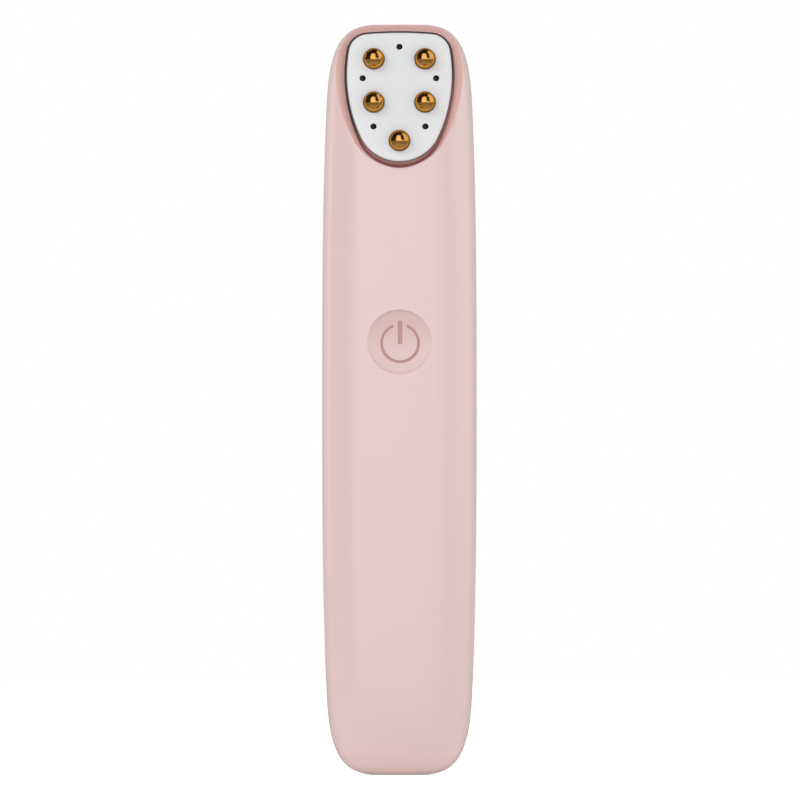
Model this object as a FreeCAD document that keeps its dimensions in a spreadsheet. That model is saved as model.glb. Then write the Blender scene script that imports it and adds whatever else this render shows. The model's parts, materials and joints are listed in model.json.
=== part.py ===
import FreeCAD, Part

import math
import os
import re

import Sketcher
from FreeCAD import Placement, Rotation, Vector

# A heated eye massager wand, standing on its flat end, in millimetres.
# +Z runs up the wand, -Y is the side with the button and the treatment face, X is across.
# The origin is the middle of the flat lower end.

# Each size is written once here: its name, its value and what it is.
SIZES = [
    ("body_length", 140.0, "height of the closed body"),
    ("body_width", 28.84, "width of the body at mid height"),
    ("body_depth", 22.0, "depth of the body at mid height"),
    ("side_bow", 1.68, "how far each side has come in at the ends"),
    ("face_bow", 1.0, "how far the front and back have come in at the ends"),
    ("section_power", 3.0, "squareness of the body's cross-section"),
    ("corner_run", 18.0, "length over which each end rounds off"),
    ("corner_rise", 3.5, "shape of the rounding where it leaves the side"),
    ("corner_fall", 4.35, "shape of the rounding where it meets the flat end"),
    ("end_trim", 0.1, "how much of the rounding the flat end cuts off"),
    ("wall", 1.8, "thickness of both shells"),
    ("seam_y", 2.5, "plane where the front and rear shells meet"),
    ("lip_height", 1.2, "reach of the rear shell's lip into the front shell"),
    ("lip_thickness", 0.8, "thickness of that lip"),
    ("lip_gap", 0.1, "clearance round the lip"),
    ("reveal_depth", 0.25, "depth of the shadow line along the seam"),
    ("reveal_width", 0.2, "width of the shadow line along the seam"),
    ("clip_width", 6.0, "width of each clip along the wand"),
    ("clip_reach", 4.0, "reach of a clip past the seam"),
    ("clip_thickness", 1.0, "thickness of a clip"),
    ("clip_gap", 0.1, "clearance between a clip and the wall"),
    ("clip_catch", 0.5, "how far a catch stands into the wall"),
    ("clip_low_z", 34.0, "height of the lower pair of clips"),
    ("clip_high_z", 100.0, "height of the upper pair of clips"),
    ("face_tilt", 16.0, "lean of the treatment face, in degrees"),
    ("face_setback", 6.75, "depth of the face's centre in front of the axis"),
    ("face_from_top", 13.8, "distance of the face's centre below the top"),
    ("shield_bottom_radius", 7.55, "lower end of the plate's outline"),
    ("shield_bottom_drop", 4.58, "centre of that end below the face's centre"),
    ("shield_corner_radius", 3.38, "upper corners of the plate's outline"),
    ("shield_corner_x", 5.75, "centres of those corners from the middle"),
    ("shield_corner_u", 8.57, "centres of those corners above the face's centre"),
    ("shield_side_radius", 29.0, "bulge of the outline's sides"),
    ("shield_top_radius", 70.0, "bulge of the outline's top"),
    ("recess_flare", 50.0, "lean of the recess wall from upright, in degrees"),
    ("recess_gap", 0.12, "clearance between the ring and the recess wall"),
    ("seat_thickness", 1.6, "thickness of the seat under the ring"),
    ("ring_rim", 0.95, "width of the clear ring round the plate"),
    ("ring_height", 1.6, "height of the ring over the seat"),
    ("ring_bevel", 0.4, "bevel of the ring's outer edge"),
    ("ring_skirt", 0.15, "how far the ring's skirt stands outside the plate"),
    ("ring_ledge", 0.9, "width of the ledge under the plate"),
    ("window_gap", 0.1, "clearance between the skirt and its window"),
    ("seal_thickness", 0.3, "thickness of the gasket under the ring"),
    ("plate_gap", 0.06, "clearance round the treatment plate"),
    ("plate_rise", 1.5, "height of the plate's face over the seat"),
    ("plate_thickness", 1.0, "thickness of the treatment plate"),
    ("plate_round", 0.25, "rounding of the plate's edge"),
    ("heater_thickness", 0.25, "thickness of the film heater"),
    ("stack_gap", 0.1, "clearance between the stack's layers and the ledge"),
    ("head_board_thickness", 0.8, "thickness of the head's circuit board"),
    ("carrier_thickness", 1.5, "thickness of the frame behind the head board"),
    ("carrier_margin", 0.15, "how far the carrier stands outside the plate"),
    ("carrier_opening", 2.4, "width of the carrier's rim inside the plate's outline"),
    ("bead_radius", 1.9, "radius of a massage bead"),
    ("bead_lift", 0.35, "height of a bead's centre over the plate"),
    ("bead_stem_radius", 0.8, "radius of a bead's stem"),
    ("bead_stem_gap", 0.06, "clearance round the stems"),
    ("bead_tail", 0.4, "length of a stem behind the head board"),
    ("bead_column", 4.77, "distance of the paired beads from the middle"),
    ("bead_high_u", 7.26, "upper pair of beads"),
    ("bead_low_u", -1.17, "lower pair of beads"),
    ("bead_foot_u", -8.66, "single bead"),
    ("lens_radius", 0.55, "radius of a light pipe"),
    ("lens_gap", 0.04, "clearance round a light pipe"),
    ("lens_sink", 0.12, "how far a light pipe ends below the plate's face"),
    ("lens_top_u", 9.66, "upper light pipe"),
    ("lens_side_x", 6.85, "side light pipes from the middle"),
    ("lens_side_u", 3.53, "side light pipes"),
    ("lens_foot_x", 4.84, "lower light pipes from the middle"),
    ("lens_foot_u", -5.84, "lower light pipes"),
    ("led_side", 1.6, "side of a light-emitting chip"),
    ("led_height", 0.6, "height of a light-emitting chip"),
    ("led_room", 0.2, "room round a light-emitting chip"),
    ("sensor_length", 1.6, "length of the temperature sensor"),
    ("sensor_width", 0.8, "width of the temperature sensor"),
    ("sensor_u", 3.0, "place of the temperature sensor on the face"),
    ("hook_u", 3.0, "lower end of the carrier's hooks"),
    ("hook_length", 3.5, "length of each hook"),
    ("hook_thickness", 0.8, "thickness of a hook's nub"),
    ("hook_gap", 0.1, "clearance between a hook and the carrier"),
    ("ear_u", -13.9, "place of the carrier's screw"),
    ("ear_radius", 2.0, "radius of the carrier's ear"),
    ("ear_thickness", 0.7, "thickness of the carrier's ear"),
    ("head_screw_radius", 0.7, "shank of the head's screw"),
    ("head_screw_bite", 1.3, "length of that screw in its boss"),
    ("screw_radius", 0.8, "shank of a frame screw"),
    ("screw_head_radius", 1.5, "head of a frame screw"),
    ("screw_head_height", 1.0, "height of a frame screw's head"),
    ("screw_bite", 3.0, "length of a frame screw in its boss"),
    ("screw_slack", 0.1, "clearance round a screw's shank"),
    ("boss_radius", 2.0, "radius of the front shell's bosses"),
    ("screw_x", 5.4, "frame screws from the middle"),
    ("screw_low_z", 11.5, "height of the lower frame screws"),
    ("screw_high_z", 95.0, "height of the upper frame screws"),
    ("board_back", 1.63, "back of the main board in front of the axis"),
    ("board_thickness", 1.0, "thickness of the main board"),
    ("board_width", 18.0, "width of the main board"),
    ("board_low_z", 3.2, "lower end of the main board"),
    ("board_high_z", 98.0, "upper end of the main board"),
    ("board_corner", 5.0, "corners of the main board's lower end"),
    ("rail_gap", 7.1, "inner face of the frame's rails from the middle"),
    ("rail_thickness", 1.4, "thickness of the frame's rails"),
    ("rail_back", 4.5, "back of the rails behind the axis"),
    ("frame_low_z", 9.5, "lower end of the inner frame"),
    ("frame_high_z", 113.5, "upper end of the inner frame"),
    ("frame_plate", 1.2, "thickness of the frame's end plates"),
    ("end_plate_length", 4.5, "length of each end plate"),
    ("rib_thickness", 1.5, "thickness of the frame's ribs"),
    ("cell_radius", 5.0, "radius of the battery cell"),
    ("cell_length", 44.0, "length of the battery cell"),
    ("cell_low_z", 16.0, "lower end of the battery cell"),
    ("cell_gap", 0.1, "clearance round the battery cell"),
    ("cell_slot", 6.0, "opening of the cell's ribs towards the board"),
    ("cell_board_thickness", 1.0, "thickness of the cell's protection board"),
    ("pad_width", 6.0, "width of the cell's foam pad"),
    ("pad_length", 28.0, "length of the cell's foam pad"),
    ("pad_thickness", 0.3, "thickness of the cell's foam pad"),
    ("motor_radius", 3.5, "radius of the vibration motor"),
    ("motor_length", 12.0, "length of the vibration motor"),
    ("motor_low_z", 101.0, "lower end of the vibration motor"),
    ("motor_y", 3.2, "motor's axis behind the wand's axis"),
    ("motor_boss", 0.8, "height of the motor's bearing boss"),
    ("shaft_radius", 0.5, "radius of the motor's shaft"),
    ("shaft_gap", 0.05, "running clearance of the shaft"),
    ("shaft_reach", 6.0, "length of the shaft outside the motor"),
    ("weight_radius", 3.0, "radius of the eccentric weight"),
    ("weight_length", 4.0, "length of the eccentric weight"),
    ("boot_thickness", 0.8, "thickness of the motor's rubber boot"),
    ("boot_length", 9.0, "length of the motor's rubber boot"),
    ("boot_gap", 0.04, "clearance inside and outside the boot"),
    ("button_from_top", 59.2, "distance of the button's centre below the top"),
    ("button_radius", 5.9, "radius of the power button"),
    ("button_gap", 0.1, "clearance between the button and its hole"),
    ("button_rim", 0.28, "depth of the button's rim below the body's front line"),
    ("button_dish", 0.5, "depth of the dish in the button"),
    ("button_skin", 1.1, "thickness of the button's cap under the dish"),
    ("flange_radius", 7.0, "radius of the flange behind the shell"),
    ("flange_thickness", 0.8, "thickness of that flange"),
    ("flange_seat", 2.0, "depth of the flange's seat below the front line"),
    ("flange_gap", 0.05, "clearance in front of the flange"),
    ("button_travel", 0.35, "travel of the button"),
    ("stem_radius", 1.5, "radius of the button's stem"),
    ("stem_gap", 0.05, "clearance between the stem and the switch"),
    ("mark_radius", 3.7, "radius of the power mark"),
    ("mark_width", 0.49, "line width of the mark's ring"),
    ("mark_bar_width", 0.79, "width of the mark's bar"),
    ("mark_bar_top", 4.17, "top of the bar over the mark's centre"),
    ("mark_opening", 2.6, "opening of the ring at the bar"),
    ("mark_drop", 0.2, "centre of the mark below the button's centre"),
    ("mark_depth", 0.15, "depth of the engraving"),
    ("switch_side", 4.5, "side of the switch"),
    ("switch_height", 3.2, "height of the switch's body"),
    ("plunger_radius", 1.2, "radius of the switch's plunger"),
    ("plunger_gap", 0.05, "clearance round the plunger"),
    ("plunger_rise", 1.07, "height of the plunger over the switch's body"),
    ("plunger_foot", 0.4, "length of the plunger inside the switch"),
    ("port_width", 8.94, "width of the charging socket"),
    ("port_height", 3.2, "height of the charging socket"),
    ("port_length", 7.35, "length of the charging socket"),
    ("port_sink", 0.5, "depth of the socket's mouth in the flat end"),
    ("port_wall", 0.3, "thickness of the socket's metal"),
    ("port_gap", 0.18, "clearance between the socket and the shell"),
    ("tongue_width", 6.7, "width of the socket's tongue"),
    ("tongue_thickness", 0.7, "thickness of the socket's tongue"),
    ("tongue_base", 1.5, "length of the insulator behind the tongue"),
    ("tongue_sink", 1.0, "depth of the tongue's tip in the socket"),
    ("seal_width", 0.7, "width of the gasket round the socket"),
    ("seal_length", 1.0, "length of the gasket round the socket"),
    ("lead_radius", 0.35, "radius of an insulated lead"),
    ("cell_lead_x", 1.5, "battery leads from the middle"),
    ("cell_lead_turn", 6.0, "length of a battery lead before its bend"),
    ("motor_lead_x", 1.2, "motor leads from the middle"),
    ("motor_lead_turn", 9.5, "length of a motor lead before its bend"),
    ("flex_width", 4.4, "width of the head's ribbon cable"),
    ("flex_thickness", 0.12, "thickness of the head's ribbon cable"),
    ("flex_gap", 0.03, "clearance between the ribbon and the head board"),
    ("plug_width", 5.5, "width of the ribbon's connector"),
    ("plug_height", 1.0, "height of the ribbon's connector"),
    ("plug_length", 3.5, "length of the ribbon's connector"),
    ("plug_low_z", 93.0, "lower end of the ribbon's connector"),
    ("flex_start_drop", 2.2, "start of the ribbon below the face's centre"),
    ("flex_leave_drop", 5.5, "place where the ribbon turns away from the head board"),
    ("flex_level_drop", 9.1, "place where the ribbon levels out behind the carrier"),
    ("flex_turn_drop", 15.3, "place where the ribbon turns down to the main board"),
    ("flex_straight", 6.0, "straight run of the ribbon over its connector"),
    ("control_side", 5.0, "side of the control chip"),
    ("control_height", 0.9, "height of the control chip"),
    ("control_z", 60.0, "height of the control chip's centre"),
    ("charge_side", 3.0, "side of the charging chip"),
    ("charge_height", 0.8, "height of the charging chip"),
    ("charge_z", 22.0, "height of the charging chip's centre"),
    ("driver_width", 3.0, "width of the motor's driver chip"),
    ("driver_length", 4.0, "length of the motor's driver chip"),
    ("driver_height", 1.1, "height of the motor's driver chip"),
    ("driver_x", 5.0, "driver chip from the middle"),
    ("driver_z", 70.0, "height of the driver chip's centre"),
    ("coil_side", 4.0, "side of the power coil"),
    ("coil_height", 2.0, "height of the power coil"),
    ("coil_x", 4.5, "power coil from the middle"),
    ("coil_z", 34.0, "height of the power coil's centre"),
]
NAMES = {name for name, value, note in SIZES}

UPRIGHT = Rotation()
ALONG_Y = Rotation(Vector(1, 0, 0), -90)
ALONG_FRONT = Rotation(Vector(1, 0, 0), 90)

HULL_STATIONS = 9        # sections in each rounded end
HULL_MIDDLE = 5          # sections between the rounded ends
HULL_POINTS = 40         # points on each section
AT_BACK = math.pi / 2
AT_FRONT = -math.pi / 2

doc = FreeCAD.newDocument("EyeMassagerWand")
sheet = doc.addObject("Spreadsheet::Sheet", "Sizes")
subparts = []


# ---------------------------------------------------------------- helpers

def fill_sheet():
    """Write every size into the sheet as a plain number with an alias."""
    for row, (name, value, note) in enumerate(SIZES, start=1):
        sheet.set(f"A{row}", note)
        sheet.set(f"B{row}", str(value))
        sheet.setAlias(f"B{row}", name)
    doc.recompute()


def size(name):
    """A size as a number."""
    return float(sheet.get(name))


def formula(text):
    """A formula of sizes, with each size's name pointed at its cell."""
    return re.sub(
        r"[a-z_]+",
        lambda word: f"Sizes.{word.group()}" if word.group() in NAMES else word.group(),
        str(text),
    )


def bind(item, **sizes):
    """Bind properties to formulas of the sizes; a double underscore stands for a dot."""
    for path, text in sizes.items():
        item.setExpression(path.replace("__", "."), formula(text))
    return item


def put(item, x, y, z, turn=UPRIGHT):
    """Place an object at a point given by three formulas."""
    item.Placement = Placement(Vector(), turn)
    return bind(item, Placement__Base__x=x, Placement__Base__y=y, Placement__Base__z=z)


def on_face(item, x="0", u="0", q="0"):
    """Place an object on the treatment face: x across, u up the face, q out of it."""
    y = f"-face_setback + ({u}) * sin(face_tilt) - ({q}) * cos(face_tilt)"
    z = f"body_length - face_from_top + ({u}) * cos(face_tilt) + ({q}) * sin(face_tilt)"
    put(item, x, y, z, Rotation(Vector(1, 0, 0), 90 - size("face_tilt")))
    return bind(item, Placement__Rotation__Angle="90 - face_tilt")


def face_point(x, u, q):
    """A point of the treatment face as a vector."""
    tilt = math.radians(size("face_tilt"))
    across = -size("face_setback") + u * math.sin(tilt) - q * math.cos(tilt)
    height = size("body_length") - size("face_from_top")
    return Vector(x, across, height + u * math.cos(tilt) + q * math.sin(tilt))


def box(name, length, width, height):
    """A block from its low corner."""
    return bind(doc.addObject("Part::Box", name), Length=length, Width=width, Height=height)


def rod(name, radius, height):
    """A round bar from the middle of its lower end."""
    return bind(doc.addObject("Part::Cylinder", name), Radius=radius, Height=height)


def solid(name, shape):
    """An object that holds a shape made by code."""
    item = doc.addObject("Part::Feature", name)
    item.Shape = shape
    return item


def fuse(name, *pieces):
    """Several objects joined."""
    item = doc.addObject("Part::MultiFuse", name)
    item.Shapes = list(pieces)
    return item


def cut(name, base, *tools):
    """One object less others, taken away one after another."""
    item = base
    for index, tool in enumerate(tools, start=1):
        item, before = doc.addObject("Part::Cut", name), item
        item.Base = before
        item.Tool = tool
    return item


def group(name, *pieces):
    """Several separate solids as one object."""
    item = doc.addObject("Part::Compound", name)
    item.Links = list(pieces)
    return item


def common(name, first, second):
    """What two objects share."""
    item = doc.addObject("Part::Common", name)
    item.Base = first
    item.Tool = second
    return item


def subpart(item, label):
    """List an object as a separate piece under the name of its file."""
    item.Label = label
    subparts.append(item)
    return item


# ---------------------------------------------------------------- sketches and bodies

def new_body(name):
    """An empty body."""
    return doc.addObject("PartDesign::Body", name)


def new_sketch(body, name, plane="XY_Plane", lift="0"):
    """A sketch on one of the body's own planes, lifted along the plane's normal."""
    sketch = body.newObject("Sketcher::SketchObject", name)
    support = [part for part in body.Origin.OriginFeatures if part.Role == plane]
    sketch.AttachmentSupport = [(support[0], "")]
    sketch.MapMode = "FlatFace"
    return bind(sketch, AttachmentOffset__Base__z=lift)


def limit(sketch, kind, text, *where, start=1.0):
    """A sketch dimension bound to a formula."""
    index = sketch.addConstraint(Sketcher.Constraint(kind, *where, start))
    sketch.setExpression(f"Constraints[{index}]", formula(text))


def centre_at(sketch, index, x, y):
    """Hold an arc's or circle's centre at a point."""
    limit(sketch, "DistanceX", x, -1, 1, index, 3)
    limit(sketch, "DistanceY", y, -1, 1, index, 3)


def circles(body, name, spots, radius, lift="0", plane="XY_Plane"):
    """A sketch of equal circles."""
    sketch = new_sketch(body, name, plane, lift)
    for index, (x, y) in enumerate(spots):
        sketch.addGeometry(Part.Circle(Vector(), Vector(0, 0, 1), 1.0), False)
        centre_at(sketch, index, x, y)
        limit(sketch, "Radius", radius, index)
    return sketch


def polygon(body, name, corners, plane="XY_Plane", lift="0"):
    """A closed sketch through corners that are given by pairs of formulas."""
    sketch = new_sketch(body, name, plane, lift)
    count = len(corners)
    for index in range(count):
        turn = 2 * math.pi * index / count
        after = 2 * math.pi * (index + 1) / count
        start = Vector(math.cos(turn), math.sin(turn), 0)
        end = Vector(math.cos(after), math.sin(after), 0)
        sketch.addGeometry(Part.LineSegment(start, end), False)
    for index, (x, y) in enumerate(corners):
        sketch.addConstraint(
            Sketcher.Constraint("Coincident", index, 2, (index + 1) % count, 1)
        )
        limit(sketch, "DistanceX", x, -1, 1, index, 1)
        limit(sketch, "DistanceY", y, -1, 1, index, 1)
    return sketch


def rectangle(body, name, width, height, x="0", y="0", plane="XY_Plane", lift="0"):
    """A rectangle sketch about a middle point."""
    left, right = f"({x}) - ({width}) / 2", f"({x}) + ({width}) / 2"
    low, high = f"({y}) - ({height}) / 2", f"({y}) + ({height}) / 2"
    corners = [(left, low), (right, low), (right, high), (left, high)]
    return polygon(body, name, corners, plane, lift)


def stadium(body, name, width, height, lift="0"):
    """A slot with round ends, about the origin."""
    sketch = new_sketch(body, name, "XY_Plane", lift)
    reach = 3.0
    up, down = Vector(0, 1, 0), Vector(0, -1, 0)
    for side in (1, -1):
        middle = Vector(side * reach, 0, 0)
        turn = -math.pi / 2 if side > 0 else math.pi / 2
        round_end = Part.Circle(middle, Vector(0, 0, 1), 1.0)
        sketch.addGeometry(Part.ArcOfCircle(round_end, turn, turn + math.pi), False)
        across = Vector(-side * reach, 0, 0)
        edge = up if side > 0 else down
        sketch.addGeometry(Part.LineSegment(middle + edge, across + edge), False)
    for index in range(4):
        sketch.addConstraint(
            Sketcher.Constraint("Tangent", index, 2, (index + 1) % 4, 1)
        )
    for index, sign in ((0, ""), (2, "-")):
        centre_at(sketch, index, f"{sign}(({width}) - ({height})) / 2", "0")
        limit(sketch, "Radius", f"({height}) / 2", index)
    return sketch


def shield_arcs():
    """The plate's outline: six arcs, each tangent to the next, counted from the lower end."""
    low_radius, low = size("shield_bottom_radius"), -size("shield_bottom_drop")
    radius, x, u = size("shield_corner_radius"), size("shield_corner_x"), size("shield_corner_u")
    side, top = size("shield_side_radius"), size("shield_top_radius")
    gap = math.hypot(x, u - low)
    along = ((side - low_radius) ** 2 - (side - radius) ** 2 + gap ** 2) / (2 * gap)
    off = math.sqrt((side - low_radius) ** 2 - along ** 2)
    side_x = (along * x - off * (u - low)) / gap
    side_u = low + (along * (u - low) + off * x) / gap
    top_u = u - math.sqrt((top - radius) ** 2 - x ** 2)
    foot = math.atan2(low - side_u, -side_x)
    shoulder = math.atan2(u - side_u, x - side_x)
    crown = math.atan2(u - top_u, x)
    half = math.pi
    return [
        (0.0, low, low_radius, -half - foot, foot),
        (side_x, side_u, side, foot, shoulder),
        (x, u, radius, shoulder, crown),
        (0.0, top_u, top, crown, half - crown),
        (-x, u, radius, half - crown, half - shoulder),
        (-side_x, side_u, side, half - shoulder, half - foot),
    ]


def shield(body, name, grow, lift="0"):
    """A sketch of the plate's outline, grown outwards all round."""
    sketch = new_sketch(body, name, "XY_Plane", lift)
    arcs = shield_arcs()
    for x, u, radius, start, end in arcs:
        circle = Part.Circle(Vector(x, u, 0), Vector(0, 0, 1), radius)
        sketch.addGeometry(Part.ArcOfCircle(circle, start, end), False)
    for index in range(len(arcs)):
        sketch.addConstraint(
            Sketcher.Constraint("Tangent", index, 2, (index + 1) % len(arcs), 1)
        )
    names = ("bottom", "side", "corner", "top", "corner", "side")
    for index, (part, arc) in enumerate(zip(names, arcs)):
        limit(sketch, "Radius", f"shield_{part}_radius + ({grow})", index, start=arc[2])
    centre_at(sketch, 0, "0", "-shield_bottom_drop")
    centre_at(sketch, 2, "shield_corner_x", "shield_corner_u")
    centre_at(sketch, 4, "-shield_corner_x", "shield_corner_u")
    return sketch


def pad(body, sketch, length, midplane=False):
    """Thicken a sketch along its normal."""
    feature = body.newObject("PartDesign::Pad", f"{sketch.Name}_pad")
    feature.Profile = sketch
    feature.Midplane = midplane
    return bind(feature, Length=length)


def pocket(body, sketch, depth=None):
    """Cut a sketch to a depth against its normal, or right through both ways."""
    feature = body.newObject("PartDesign::Pocket", f"{sketch.Name}_pocket")
    feature.Profile = sketch
    if depth is None:
        feature.Type = "ThroughAll"
        feature.Midplane = True
    else:
        bind(feature, Length=depth)
    doc.recompute()
    before = feature.BaseFeature.Shape.Volume
    if not feature.Shape.Volume < before - 1e-6:
        raise RuntimeError(f"{feature.Name} cuts nothing")
    return feature


def revolve(body, sketch, axis="V_Axis"):
    """Turn a sketch round one of its axes."""
    feature = body.newObject("PartDesign::Revolution", f"{sketch.Name}_turn")
    feature.Profile = sketch
    feature.ReferenceAxis = (sketch, [axis])
    feature.Angle = 360
    return feature


def dress(body, kind, base, test, **sizes):
    """A fillet or chamfer on the edges of a feature that pass a test."""
    doc.recompute()
    edges = [f"Edge{i}" for i, edge in enumerate(base.Shape.Edges, start=1) if test(edge)]
    feature = body.newObject(f"PartDesign::{kind}", f"{base.Name}_{kind.lower()}")
    feature.Base = (base, edges)
    return bind(feature, **sizes)


# ---------------------------------------------------------------- the body's form

def corner(run):
    """How much of its full width the body has at a distance from its end."""
    rest = max(0.0, 1 - run / size("corner_run"))
    return (1 - rest ** size("corner_rise")) ** (1 / size("corner_fall"))


def half_sizes(z, inset):
    """Half width and half depth of the body, or of a surface inside it, at a height."""
    length = size("body_length")
    run = min(z, length - z) - inset + size("end_trim")
    bow = abs(2 * z / length - 1) ** 3
    share = corner(run)
    width = size("body_width") / 2 - size("side_bow") * bow - inset
    depth = size("body_depth") / 2 - size("face_bow") * bow - inset
    return width * share, depth * share


def section(z, inset, start):
    """One cross-section of the body as a closed smooth curve that starts at a side."""
    width, depth = half_sizes(z, inset)
    power = size("section_power")
    points = []
    for index in range(HULL_POINTS):
        turn = start + 2 * math.pi * index / HULL_POINTS
        across = abs(math.cos(turn) / width) ** power
        deep = abs(math.sin(turn) / depth) ** power
        reach = (across + deep) ** (-1 / power)
        points.append(Vector(reach * math.cos(turn), reach * math.sin(turn), z))
    curve = Part.BSplineCurve()
    curve.interpolate(points, PeriodicFlag=True)
    return Part.Wire([curve.toShape()])


def hull(inset=0.0, start=AT_BACK):
    """The body's outer form, or that form moved inwards all round.

    The curves start at the back, or at the front for pieces of the rear shell, so that
    the line where they close stays away from the piece.
    """
    run, trim, rise = size("corner_run"), size("end_trim"), size("corner_rise")
    first = math.acos((1 - trim / run) ** (rise / 2))
    heights = []
    for index in range(HULL_STATIONS + 1):
        turn = first + (math.pi / 2 - first) * index / HULL_STATIONS
        heights.append(inset + run * (1 - math.cos(turn) ** (2 / rise)) - trim)
    heights[0] = inset
    low, high = heights[-1], size("body_length") - heights[-1]
    middle = [low + (high - low) * i / (HULL_MIDDLE + 1) for i in range(1, HULL_MIDDLE + 1)]
    upper = [size("body_length") - z for z in reversed(heights)]
    sections = [section(z, inset, start) for z in heights + middle + upper]
    return Part.makeLoft(sections, True, False)


def hull_band(name, outer, inner, start=AT_BACK):
    """The layer between two insets of the body's form."""
    return solid(name, hull(outer, start).cut(hull(inner, start)))


def slab(name, low, high):
    """Everything between two planes across the depth."""
    return put(
        box(name, "body_width * 2", f"({high}) - ({low})", "body_length * 2"),
        "-body_width", low, "-body_length / 2",
    )


# ---------------------------------------------------------------- the treatment head

SEAT_BACK = "-seat_thickness"
PLATE_BACK = "plate_rise - plate_thickness"
BOARD_FRONT = "-seat_thickness + head_board_thickness"
CARRIER_BACK = "-seat_thickness - carrier_thickness"
EAR_FRONT = "-seat_thickness - carrier_thickness + ear_thickness"
BEADS = [
    ("-bead_column", "bead_high_u"),
    ("bead_column", "bead_high_u"),
    ("-bead_column", "bead_low_u"),
    ("bead_column", "bead_low_u"),
    ("0", "bead_foot_u"),
]
LENSES = [
    ("0", "lens_top_u"),
    ("-lens_side_x", "lens_side_u"),
    ("lens_side_x", "lens_side_u"),
    ("-lens_foot_x", "lens_foot_u"),
    ("lens_foot_x", "lens_foot_u"),
]


def head_ring():
    """The clear ring: a bevelled rim on the seat and a skirt through the window."""
    body = new_body("HeadRing")
    pad(body, shield(body, "RingRim", "ring_rim", "seal_thickness"), "ring_height - seal_thickness")
    skirt = shield(body, "RingSkirt", "ring_skirt", SEAT_BACK)
    pad(body, skirt, "seat_thickness + seal_thickness")
    bay = shield(body, "RingBay", "plate_gap", "ring_height")
    pocket(body, bay, f"ring_height - ({PLATE_BACK})")
    opening = pocket(body, shield(body, "RingOpening", "-ring_ledge"))
    top = size("ring_height")
    outside = size("shield_corner_u") + size("shield_corner_radius") + size("ring_rim") / 2

    def rim(edge):
        """Whether an edge lies on the top of the rim's outer side."""
        box_ = edge.BoundBox
        if box_.ZMin < top - 0.01:
            return False
        return abs(edge.Curve.Radius - nearest_outline(edge)) < 0.01

    def nearest_outline(edge):
        """The radius that an outer edge with this centre would have."""
        radii = [arc[2] + size("ring_rim") for arc in shield_arcs()]
        return min(radii, key=lambda radius: abs(radius - edge.Curve.Radius))

    dress(body, "Chamfer", opening, rim, Size="ring_bevel")
    return subpart(on_face(body), "head_ring")


def stack_layer(name, label, lift, thickness, holes):
    """One layer of the head, inside the ring's ledge, with its holes."""
    body = new_body(name)
    outline = shield(body, f"{name}Outline", "-ring_ledge - stack_gap", lift)
    pad(body, outline, thickness)
    for index, (spots, radius) in enumerate(holes):
        pocket(body, circles(body, f"{name}Holes{index}", spots, radius, lift))
    return subpart(on_face(body), label)


def head_layers():
    """Heater film, insulation and circuit board, in that order behind the plate."""
    stem = (BEADS, "bead_stem_radius + bead_stem_gap")
    pipe = (LENSES, "lens_radius + lens_gap")
    chip = (LENSES, "led_side / sqrt(2) + led_room")
    sensor = ([("0", "sensor_u")], "sensor_length / 2 + led_room")
    film_back = f"{PLATE_BACK} - heater_thickness"
    stack_layer("HeaterFilm", "heater_film", film_back, "heater_thickness", [stem, pipe])
    depth = f"({film_back}) - ({BOARD_FRONT})"
    stack_layer("InsulationPad", "insulation_pad", BOARD_FRONT, depth, [stem, chip, sensor])
    stack_layer("HeadBoard", "head_board", SEAT_BACK, "head_board_thickness", [stem])
    body = new_body("HeatSensor")
    outline = rectangle(body, "SensorOutline", "sensor_length", "sensor_width", y="sensor_u",
                        lift=BOARD_FRONT)
    pad(body, outline, depth)
    subpart(on_face(body), "heat_sensor")


def treatment_plate():
    """The white plate with its holes and a rounded edge."""
    body = new_body("TreatmentPlate")
    slab_ = pad(body, shield(body, "PlateOutline", "0", PLATE_BACK), "plate_thickness")
    top = size("plate_rise")
    dress(body, "Fillet", slab_, lambda edge: edge.BoundBox.ZMin > top - 0.01,
          Radius="plate_round")
    pocket(body, circles(body, "PlateStems", BEADS, "bead_stem_radius + bead_stem_gap"))
    pocket(body, circles(body, "PlatePipes", LENSES, "lens_radius + lens_gap"))
    return subpart(on_face(body), "treatment_plate")


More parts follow.
